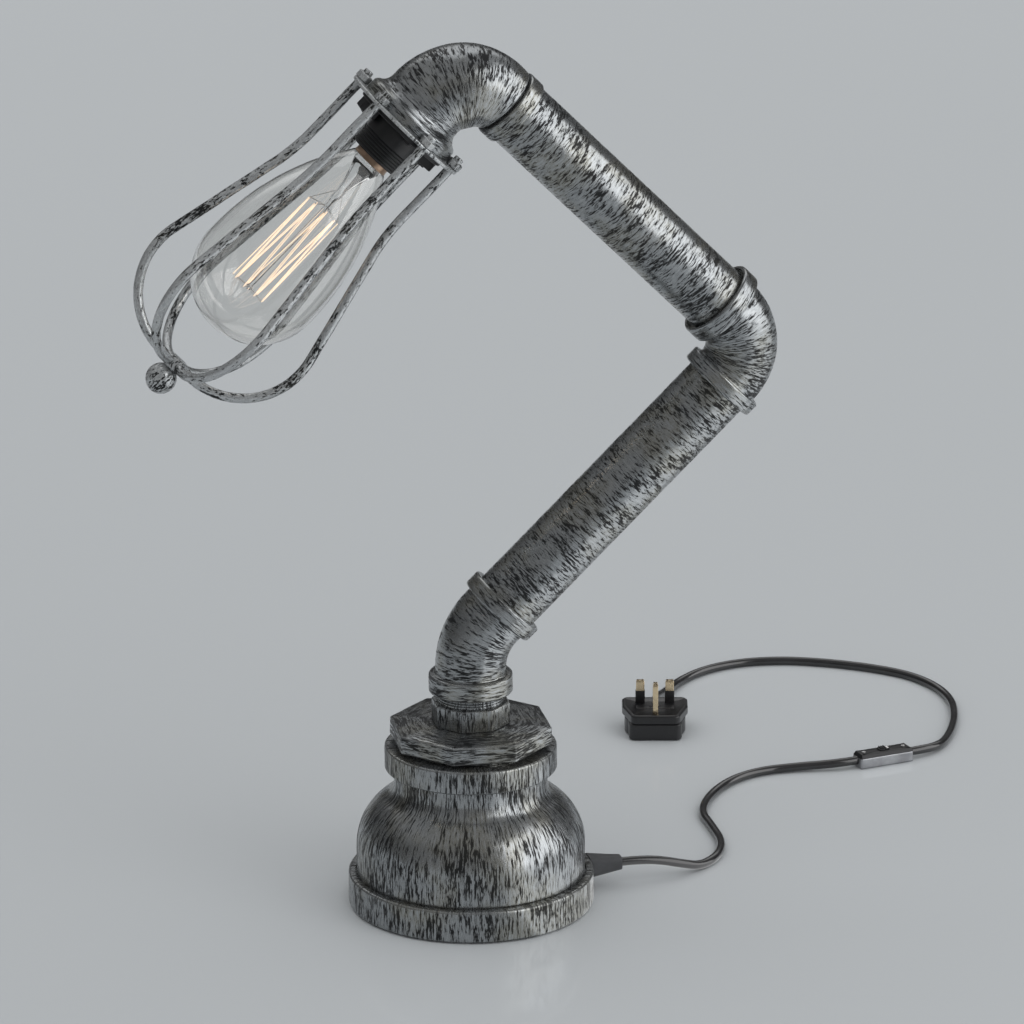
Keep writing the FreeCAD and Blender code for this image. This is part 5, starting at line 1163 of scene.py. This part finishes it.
def screw_head(radius, height, slot):
    """A domed head with a driver slot: rings that shrink to the middle, lowered by the slot's depth inside it.

    A point at distance r from the middle stands at height times the square root of 1 - 0.35 (r / radius) squared.
    """
    share = np.concatenate([[0.0, 1.0, 1.0], np.linspace(0.98, 0.0, 12)])[:, None]
    angle = np.linspace(0, TURN, 48, endpoint=False)[None]
    x = radius * share * np.cos(angle)
    y = radius * share * np.sin(angle)
    z = height * np.sqrt(1 - 0.35 * share ** 2) + 0 * angle
    z = np.where((np.abs(y) < slot / 2) & (share < 0.97), z - height * 0.45, z)
    z[:2] = 0.0
    points = np.stack([x, y, z], -1)
    return Shell(points, points.copy(), np.zeros(points.shape[:2]), False)


def rod(start, end, radius, around=10):
    """A thin straight round bar from one point to another."""
    start = np.array(start, float)
    end = np.array(end, float)
    along = (end - start) / np.linalg.norm(end - start)
    side = np.cross(along, (0.0, 0.0, 1.0) if abs(along[2]) < 0.9 else (1.0, 0.0, 0.0))
    route = Route(np.array([start, (start + end) / 2, end]), side / np.linalg.norm(side))
    total = route.length[-1]
    return carry(np.array([[0, 0], [0, radius], [total, radius], [total, 0]]), route, around=around, closed=False)


class LAMP_OT_holder(bpy.types.Operator):
    """Makes the black lampholder under the ring"""

    bl_idname = "lamp.holder"
    bl_label = "Lampholder"

    def execute(self, context):
        black = black_plastic()
        disc = fillet([(4.25, 0.0, 0), (36.0, 0.0, 0.5), (36.0, HOLDER_SEAT, 0.9), (4.25, HOLDER_SEAT, 0)], 4)
        shells = [lathe(spaced(disc, 3.0), around=120)]
        for side in (1, -1):
            lug = block(14.0, 13.0, HOLDER_SEAT - 0.3, HOLDER_SEAT + 7.5, 1.2, 1.0)
            shells.append(moved(lug, (27.0 * side, 0, 0)))
            pad = block(5.0, 8.0, HOLDER_SEAT + 7.4, HOLDER_SEAT + 8.6, 0.8, 0.5)
            shells.append(moved(pad, (27.0 * side, 0, 0)))
        add_piece("holder_plate", shells, CAGE, black, "head", "holder_black", "holder_bracket")

        cup = fillet([
            (4.25, HOLDER_SEAT, 0), (HOLDER_RADIUS, HOLDER_SEAT, 0.9), (HOLDER_RADIUS, SKIRT_START - 0.8, 0.3),
            (HOLDER_RADIUS - 0.7, SKIRT_START, 0), (HOLDER_BORE, SKIRT_START, 0), (HOLDER_BORE, 5.5, 0), (4.25, 5.5, 0),
        ], 4)
        add_piece("holder_cup", [lathe(spaced(cup, 3.0), around=96)], CAGE, black, "head", "holder_black",
                  "holder_body")

        ribs = []
        pitch = (SKIRT_END - SKIRT_START) / 6
        for number in range(6):
            low = SKIRT_START + pitch * number
            ribs += [(HOLDER_RADIUS, low + 0.15, 0.25), (HOLDER_RADIUS, low + pitch * 0.5, 0.25),
                     (HOLDER_RADIUS - 1.1, low + pitch * 0.62, 0.15), (HOLDER_RADIUS - 1.1, low + pitch * 0.88, 0.15)]
        skirt = fillet([(HOLDER_BORE, SKIRT_START, 0)] + ribs + [(HOLDER_RADIUS - 1.1, SKIRT_END, 0.4),
                                                           (HOLDER_BORE, SKIRT_END, 0.3)], 3)
        add_piece("holder_ribs", [lathe(skirt, around=96)], CAGE, black, "head", "holder_black", "holder_skirt")

        outwards = axes((-23.5, 0, 15.6), (0, 1, 0), (-1, 0, 0))
        latch = [
            moved(block(4.8, 6.8, 12.7, 25.3, 0.8, 0.8), (-21.2, 0, 0)),
            moved(screw_head(1.9, 0.9, 0.6), tilt=outwards),
        ]
        latch[1].finish = 1
        add_piece("holder_catch", latch, CAGE, [black, zinc()], "head", "holder_black", "holder_latch")

        heads = []
        for side in (1, -1):
            heads.append(moved(screw_head(3.9, 2.4, 1.0), (0, 29.0 * side, HOLDER_SEAT), 34.0 * side))
            heads.append(rod((0, 29.0 * side, -9.0), (0, 29.0 * side, HOLDER_SEAT + 0.5), 2.0, 16))
        # Painted shade: the plate's screw heads are made near black so that they catch little light and show no glint
        # in front of the cup.
        darkened_screw_finish = moulded("darkened_screw_steel", (0.035, 0.035, 0.036), 0.42, size=900.0, metallic=0.8)
        add_piece("holder_plate_screws", heads, CAGE, darkened_screw_finish, "head", "screw_steel", "holder_screws")
        return {"FINISHED"}


class LAMP_OT_bulb(bpy.types.Operator):
    """Makes the bulb's glass and its screw cap"""

    bl_idname = "lamp.bulb"
    bl_label = "Bulb"

    def execute(self, context):
        bulb = mm(context.scene.lamp_sizes.bulb_radius)
        wall = 0.8
        neck = BULB_NECK
        widest = GLASS_START + BULB_SHOULDER

        def envelope(thinner):
            """A flank arc that bulges out from the neck to the widest place, and the round end.

            The arc's points turn steadily about its centre, from the first radius to the last.
            """
            start = np.array([neck - thinner, GLASS_START])
            end = np.array([bulb - thinner, widest])
            chord = end - start
            half = np.linalg.norm(chord) / 2
            across = np.array([-chord[1], chord[0]]) / (2 * half)
            centre = (start + end) / 2 + across * math.sqrt(FLANK_BEND ** 2 - half ** 2)
            first = start - centre
            last = end - centre
            sweep = 2 * math.asin(half / FLANK_BEND)
            share = np.linspace(0, 1, 40)[:, None]
            flank = centre + (np.sin((1 - share) * sweep) * first + np.sin(share * sweep) * last) / math.sin(sweep)
            dome = arc((0.0, widest), bulb - thinner, 0.0, 90.0, 32)[1:]
            return np.concatenate([flank, dome])

        outside = envelope(0.0)
        inside = envelope(wall)[::-1]
        shell = lathe(np.concatenate([outside, inside]), around=128)
        glass = clear_glass("envelope_glass", (0.955, 0.952, 0.94))
        add_piece("bulb_envelope", [shell], CAGE, glass, "head", "bulb_glass", "bulb_glass", sharp=60.0)

        threads = []
        for number in range(5):
            low = 11.7 + 3.6 * number
            threads += [(13.3, low, 0.3), (12.6, low + 1.8, 0.8)]
        cap = fillet([(12.5, 11.5, 0)] + threads + [
            (13.3, 29.6, 0.3), (13.3, 32.6, 0.3), (13.6, 33.2, 0.2), (13.6, 34.0, 0.2), (12.5, 34.0, 0),
        ], 4)
        aged = moulded("aged_cap", context.scene.lamp_colours.cap, 0.34, size=900.0, metallic=0.9)
        add_piece("bulb_screw_cap", [lathe(cap, around=96)], CAGE, aged, "head", "cap_brass", "bulb_cap")
        return {"FINISHED"}


class LAMP_OT_filament(bpy.types.Operator):
    """Makes the glass stem, its support wires and the filament's zigzag"""

    bl_idname = "lamp.filament"
    bl_label = "Filament"

    def execute(self, context):
        colours = context.scene.lamp_colours
        share = np.linspace(0, 1, 26)
        waist = 13.0 - 11.4 * np.sin(share * math.pi / 2) ** 0.75
        pinch = 1.1 * np.exp(-((share - 0.78) / 0.09) ** 2)
        foot = np.column_stack([waist + pinch, GLASS_START + 0.4 + STEM_LENGTH * share])
        button = arc((0.0, FILAMENT_LOW - 2.4), 2.3, -50.0, 90.0, 14)
        profile = np.concatenate([[[0.0, GLASS_START + 0.4]], foot, button])
        glass = clear_glass("foot_glass", (0.95, 0.96, 0.97))
        add_piece("bulb_foot", [lathe(profile, around=64, closed=False)], CAGE, glass, "head", "stem_glass",
                  "bulb_stem",
                  sharp=60.0)

        hooks = 9
        spacing = TURN / hooks
        tops = []
        lows = []
        wires = []
        for number in range(hooks):
            a = spacing * number
            b = a + spacing / 2
            tops.append((13.6 * math.cos(a), 13.6 * math.sin(a), FILAMENT_TOP + 0.6))
            lows.append((14.2 * math.cos(b), 14.2 * math.sin(b), FILAMENT_LOW - 1.0))
            wires.append(rod((1.0 * math.cos(a), 1.0 * math.sin(a), FILAMENT_TOP - 3.0), tops[-1], 0.22))
            wires.append(rod((1.5 * math.cos(b), 1.5 * math.sin(b), FILAMENT_LOW - 2.4), lows[-1], 0.22))
        for side in (1, -1):
            wires.append(rod((3.4 * side, 0, GLASS_START + 30.0), (13.6 * side, 0, FILAMENT_TOP + 0.6), 0.3))
        add_piece("filament_hooks", wires, CAGE, zinc(), "head", "support_wire", "filament_supports")

        strands = []
        for number in range(hooks):
            strands.append(rod(tops[number], lows[number], 0.36))
            strands.append(rod(lows[number], tops[(number + 1) % hooks], 0.36))
        glow = glowing("filament_heat", colours.glow, 0.88)
        add_piece("filament_zigzag", strands, CAGE, glow, "head", "filament_glow", "bulb_filament")
        return {"FINISHED"}


# Switch and plug


class LAMP_OT_switch(bpy.types.Operator):
    """Makes the in-line switch: silver shell, black lid, thumb piece and screws"""

    bl_idname = "lamp.switch"
    bl_label = "In-line switch"

    def execute(self, context):
        body = rectangle(44.2, 14.0, 1.6, run=2.0)
        edge = fillet([(0.9, 0.0, 0), (0.0, 0.9, 0.6), (0.0, 7.5, 0.2), (0.35, 8.0, 0)], 4, closed=False)
        shells = [slab(body, spaced(edge, 1.5, closed=False))]
        silver = moulded("satin_silver", (0.30, 0.305, 0.32), 0.40, size=1500.0, metallic=0.8)
        add_piece("switch_shell", shells, SWITCH, silver, "stand", "switch_silver", "switch_base")

        edge = fillet([(0.35, 8.0, 0), (0.15, 8.4, 0.2), (1.75, 10.8, 0.5), (2.6, 11.0, 0)], 4, closed=False)
        shells = [slab(body, spaced(edge, 1.0, closed=False))]
        shells.append(moved(block(12.4, 4.6, 10.9, 11.15, 1.2, 0.2), (1.5, 0, 0)))
        add_piece("switch_lid", shells, SWITCH, black_plastic(), "stand", "switch_black", "switch_cover")

        shells = [block(8.8, 5.8, 11.15, 12.1, 1.2, 0.3)]
        for number in range(3):
            shells.append(moved(block(0.9, 5.2, 12.0, 13.1, 0.3, 0.3), (-2.6 + 1.7 * number, 0, 0)))
        mark = moved(block(1.4, 3.6, 12.05, 12.3, 0.3, 0.1), (3.0, 0, 0))
        mark.finish = 1
        shells.append(mark)
        white = moulded("mark_white", (0.75, 0.75, 0.74), 0.4)
        add_piece("switch_thumb", shells, SWITCH, [black_plastic(), white], "slider", "slider_black", "switch_slider")

        heads = []
        for side in (1, -1):
            heads.append(moved(screw_head(1.5, 0.7, 0.4), (16.5 * side, 0, 10.95), 25.0 * side))
            heads.append(rod((16.5 * side, 0, 1.0), (16.5 * side, 0, 11.0), 0.9))
        add_piece("switch_lid_screws", heads, SWITCH, zinc(), "stand", "screw_steel", "switch_screws")
        return {"FINISHED"}


def plug_outline():
    """The back shell's outline: a rounded rectangle with a shallow arc to hold on each side."""
    reach = 18.17
    half = math.degrees(math.asin(10.0 / reach))
    back = fillet([(20.0, 12.0, 0), (20.0, 22.0, 5.0), (-20.0, 22.0, 5.0), (-20.0, 12.0, 0)], 6, closed=False)
    right = arc((23.0 - reach, 0.0), reach, -half, half, 11)
    return spaced(np.concatenate([right, back, -right, -back]), 2.0)


class LAMP_OT_plug(bpy.types.Operator):
    """Makes the plug on its back: shell, pin plate, pins, sleeves and fuse door"""

    bl_idname = "lamp.plug"
    bl_label = "Plug"

    def execute(self, context):
        black = moulded("plug_gloss", context.scene.lamp_colours.plastic, 0.30, coat=0.2)
        edge = fillet([(3.0, 0.0, 0), (0.0, 0.4, 2.0), (0.0, 12.4, 0.4), (0.8, 13.0, 0)], 6, closed=False)
        shells = [slab(plug_outline(), spaced(edge, 2.0, closed=False))]
        outlet = fillet([(0.0, 19.0, 0), (5.4, 19.0, 0), (5.4, 24.0, 0.3), (4.9, 24.4, 0.2), (4.9, 25.2, 0.2),
                         (5.2, 25.6, 0.2), (5.0, 28.0, 0.8), (0.0, 28.0, 0)], 4, closed=False)
        sleeve = lathe(spaced(outlet, 2.0, closed=False), around=48, closed=False)
        shells.append(moved(sleeve, tilt=axes((0, 0, 11.0), (1, 0, 0), (0, 1, 0))))
        add_piece("plug_back", shells, PLUG, black, "stand", "plug_black", "plug_cover")

        outline = spaced(fillet([(17.5, -22.0, 5.0), (24.75, 2.0, 4.0), (24.75, 22.0, 5.0), (-24.75, 22.0, 5.0),
                                 (-24.75, 2.0, 4.0), (-17.5, -22.0, 5.0)], 6), 2.0)
        edge = fillet([(0.8, 13.0, 0), (0.0, 13.6, 0.6), (0.0, 19.0, 0.9), (1.6, 20.0, 0.4), (2.4, 20.0, 0.1),
                       (2.9, 19.7, 0)], 5, closed=False)
        add_piece("plug_plate", [slab(outline, spaced(edge, 1.5, closed=False))], PLUG, black, "stand", "plug_black",
                  "plug_base")

        pin = fillet([(0.2, 15.5, 0), (0.0, 15.7, 0.1), (0.0, 36.2, 0.5), (0.9, 37.7, 0.3), (1.4, 37.7, 0)], 4,
                     closed=False)
        shells = [moved(slab(rectangle(6.35, 3.9, 0.5, run=1.5), pin), (11.1 * side, 10.0, 0)) for side in (1, -1)]
        add_piece("plug_pins", shells, PLUG, polished_brass(), "stand", "pin_brass", "plug_live_pins")
        pin = fillet([(0.2, 15.5, 0), (0.0, 15.7, 0.1), (0.0, 41.0, 0.5), (1.0, 42.7, 0.3), (1.5, 42.7, 0)], 4,
                     closed=False)
        add_piece("plug_long_pin", [moved(slab(rectangle(4.0, 8.0, 0.5, run=1.5), pin), (0, -12.2, 0))], PLUG,
                  polished_brass(), "stand", "pin_brass", "plug_earth_pin")

        sleeve = fillet([(0.1, 19.6, 0), (0.0, 19.7, 0.1), (0.0, 29.2, 0.2), (0.4, 29.5, 0)], 3, closed=False)
        shells = [moved(slab(rectangle(7.1, 4.65, 0.8, run=1.5), sleeve), (11.1 * side, 10.0, 0)) for side in (1, -1)]
        add_piece("plug_pin_sleeves", shells, PLUG, black_plastic(), "stand", "sleeve_black", "pin_sleeves")

        door = [moved(block(28.6, 8.0, 19.0, 20.1, 1.0, 0.4), (0, -0.9, 0)),
                moved(block(9.0, 2.0, 20.0, 20.5, 0.9, 0.3), (0, -0.9, 0))]
        add_piece("plug_fuse_door", door, PLUG, black_plastic(), "stand", "plug_black", "fuse_carrier")
        return {"FINISHED"}


class LAMP_OT_kept(bpy.types.Operator):
    """Gives a finish to the CAD pieces that keep their shape"""

    bl_idname = "lamp.kept"
    bl_label = "Kept pieces"

    def execute(self, context):
        finishes = {
            "black_plastic": black_plastic(),
            "brass": polished_brass(),
            "zinc": zinc(),
            "cord": cord_rubber(),
            "pad": moulded("foam_pad", (0.02, 0.02, 0.02), 0.8, size=2500.0),
            "plate": moulded("black_paint", (0.015, 0.015, 0.015), 0.45, size=700.0),
            "iron": moulded("raw_iron", (0.06, 0.058, 0.056), 0.6, size=400.0, metallic=0.7),
            "solder": moulded("solder", (0.6, 0.6, 0.6), 0.4, size=900.0, metallic=1.0),
            "ceramic": moulded("ceramic", (0.70, 0.67, 0.60), 0.3, size=1200.0),
        }
        kept = {
            "bottom_plate": "plate", "plate_screws": "zinc", "foot_pad": "pad", "ballast_disc": "iron",
            "gland_nut": "brass", "cable_in_stand": "cord", "cable_in_lower_pipe": "cord",
            "cable_in_upper_pipe": "cord", "cable_in_head": "cord", "switch_contacts": "brass",
            "plug_fuse": "ceramic", "holder_contacts": "brass", "bulb_insulator": "black_plastic",
            "bulb_contact": "solder",
        }
        for node, finish in kept.items():
            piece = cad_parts[node]
            piece.data.materials.clear()
            piece.data.materials.append(finishes[finish])
        return {"FINISHED"}


# Stage

FLOOR_GLOSS = 0.11
WINDOW_PLACE = (1.65, -1.75, 1.3)
WINDOW_TARGET = (0.0, 0.0, 0.3)
WINDOW_SIZE = (1.5, 2.2)
SCREEN_WAY = (0.899, -0.438, 0.0)
HAIR_LIGHT_WAY = (0.191, 0.982, 0.0)


class LAMP_OT_stage(bpy.types.Operator):
    """Makes the floor, the sky and the lights"""

    bl_idname = "lamp.stage"
    bl_label = "Stage"

    def execute(self, context):
        stage = context.scene.lamp_stage
        context.scene.view_settings.view_transform = "Standard"
        angle = np.linspace(0, TURN, 64, endpoint=False)
        rim = np.column_stack([14.0 * np.cos(angle), 14.0 * np.sin(angle) + 2.0, 0 * angle])
        mesh = bpy.data.meshes.new("floor")
        mesh.from_pydata(rim, [], [list(range(64))])
        floor = bpy.data.objects.new("floor", mesh)
        context.scene.collection.objects.link(floor)
        material, t, shader = new_material("floor_gloss")
        where = t.add("ShaderNodeTexCoord").outputs["Object"]
        # Painted light: the floor's colour is made a tenth lighter towards the back to even out how light falls across
        # it. A soft noise cloud wobbles where that change comes.
        cloud = t.maths("MULTIPLY_ADD", t.noise(where, 0.9, 3.0), 0.6, -0.3)
        depth = t.add("ShaderNodeSeparateXYZ", {0: where}).outputs[1]
        far = t.add("ShaderNodeMapRange", {"Value": t.maths("ADD", depth, cloud), "From Min": -0.3, "From Max": 2.6})
        painted_back_light = tuple(channel * 1.10 for channel in stage.floor)
        # Painted reflection: for glossy rays only, the floor glows white in a wide patch towards the screen, so metal
        # that mirrors the floor there shows a bright reflection.
        painted_screen_glow = t.step(t.dot(t.unit(where), SCREEN_WAY), 0.74, 0.79, 0.0, stage.screen * 0.3)
        mirrored = t.add("ShaderNodeLightPath").outputs["Is Glossy Ray"]
        t.fill(shader, {
            "Base Color": t.mix(far.outputs[0], rgba(stage.floor), rgba(painted_back_light)),
            "Roughness": 0.7,
            "Specular IOR Level": 0.0,
            "Emission Color": rgba((1.0, 1.0, 1.0)),
            "Emission Strength": t.maths("MULTIPLY", painted_screen_glow, mirrored),
        })
        gloss = t.add("ShaderNodeBsdfPrincipled", {"Metallic": 1.0, "Roughness": 0.08})
        both = t.add("ShaderNodeMixShader", {0: FLOOR_GLOSS, 1: shader.outputs[0], 2: gloss.outputs[0]})
        t.fill(t.tree.nodes["Material Output"], {"Surface": both.outputs[0]})
        mesh.materials.append(material)

        world = bpy.data.worlds.new("sky")
        context.scene.world = world
        world.use_nodes = True
        world.node_tree.nodes.clear()
        w = Tree(world.node_tree)
        ray = w.add("ShaderNodeSeparateXYZ", {0: w.add("ShaderNodeTexCoord").outputs["Generated"]})
        above = w.step(ray.outputs[2], 0.35, 0.75)
        before = w.step(ray.outputs[1], 0.1, -0.8)
        level = w.maths("MAXIMUM", above, w.maths("MULTIPLY", before, 0.75))
        level = w.maths("MULTIPLY_ADD", level, 0.85, 0.25)
        across = w.add("ShaderNodeCombineXYZ", {0: ray.outputs[0], 1: ray.outputs[1]}).outputs[0]
        across = w.unit(across)

        def towards(way, low, high):
            """One in the directions that lie near the level direction way, nought elsewhere."""
            return w.step(w.dot(across, way), low, high)

        front = w.maths("MULTIPLY", towards(SCREEN_WAY, 0.79, 0.83), w.step(ray.outputs[2], 0.80, 0.70))
        back = w.maths("MULTIPLY", towards(HAIR_LIGHT_WAY, 0.74, 0.86), w.step(ray.outputs[2], 0.40, 0.50))
        seen = w.maths("MULTIPLY_ADD", front, stage.screen, w.maths("MULTIPLY", level, stage.mirrored))
        seen = w.maths("MULTIPLY_ADD", back, stage.hair_light, seen)
        light = w.add("ShaderNodeLightPath")
        level = w.add("ShaderNodeMix", {0: light.outputs["Is Glossy Ray"], 2: level, 3: seen}).outputs[0]
        level = w.add("ShaderNodeMix", {0: light.outputs["Is Camera Ray"], 2: level, 3: 0.45}).outputs[0]
        grey = w.add("ShaderNodeCombineColor", {0: level, 1: level, 2: level}).outputs[0]
        shaded = w.add("ShaderNodeBackground", {"Color": grey, "Strength": stage.sky})
        w.add("ShaderNodeOutputWorld", {"Surface": shaded.outputs[0]})

        data = bpy.data.lights.new("window", "AREA")
        data.shape = "RECTANGLE"
        data.size, data.size_y = WINDOW_SIZE
        data.energy = stage.window
        window = bpy.data.objects.new("window", data)
        window.location = WINDOW_PLACE
        way = Vector(WINDOW_TARGET) - Vector(WINDOW_PLACE)
        window.rotation_euler = way.to_track_quat("-Z", "Y").to_euler()
        # The metal mirrors the sky's screen instead, so that no edge of the window shows on the floor.
        window.visible_glossy = False
        context.scene.collection.objects.link(window)
        return {"FINISHED"}


class LAMP_PT_panel(bpy.types.Panel):
    """Lists the lamp's settings and the steps that build it"""

    bl_idname = "LAMP_PT_panel"
    bl_label = "Pipe Table Lamp"
    bl_space_type = "VIEW_3D"
    bl_region_type = "UI"
    bl_category = "Lamp"

    def draw(self, context):
        for group in (context.scene.lamp_sizes, context.scene.lamp_colours, context.scene.lamp_stage):
            column = self.layout.column(align=True)
            for name in group.__annotations__:
                column.prop(group, name)
        for step in STEPS:
            self.layout.operator(step.bl_idname)


STEPS = (
    LAMP_OT_camera,
    LAMP_OT_cords,
    LAMP_OT_base,
    LAMP_OT_fittings,
    LAMP_OT_cord_relief,
    LAMP_OT_elbows,
    LAMP_OT_pipes,
    LAMP_OT_top_elbow,
    LAMP_OT_cage,
    LAMP_OT_holder,
    LAMP_OT_bulb,
    LAMP_OT_filament,
    LAMP_OT_switch,
    LAMP_OT_plug,
    LAMP_OT_kept,
    LAMP_OT_cord_pieces,
    LAMP_OT_stage,
)
CLASSES = (LampSizes, LampColours, LampStage) + STEPS + (LAMP_PT_panel,)


def register():
    for cls in CLASSES:
        bpy.utils.register_class(cls)
    bpy.types.Scene.lamp_sizes = PointerProperty(type=LampSizes)
    bpy.types.Scene.lamp_colours = PointerProperty(type=LampColours)
    bpy.types.Scene.lamp_stage = PointerProperty(type=LampStage)


def unregister():
    del bpy.types.Scene.lamp_stage
    del bpy.types.Scene.lamp_colours
    del bpy.types.Scene.lamp_sizes
    for cls in reversed(CLASSES):
        bpy.utils.unregister_class(cls)


def main():
    register()
    for step in STEPS:
        group, name = step.bl_idname.split(".")
        getattr(getattr(bpy.ops, group), name)()


if __name__ == "__main__":
    main()
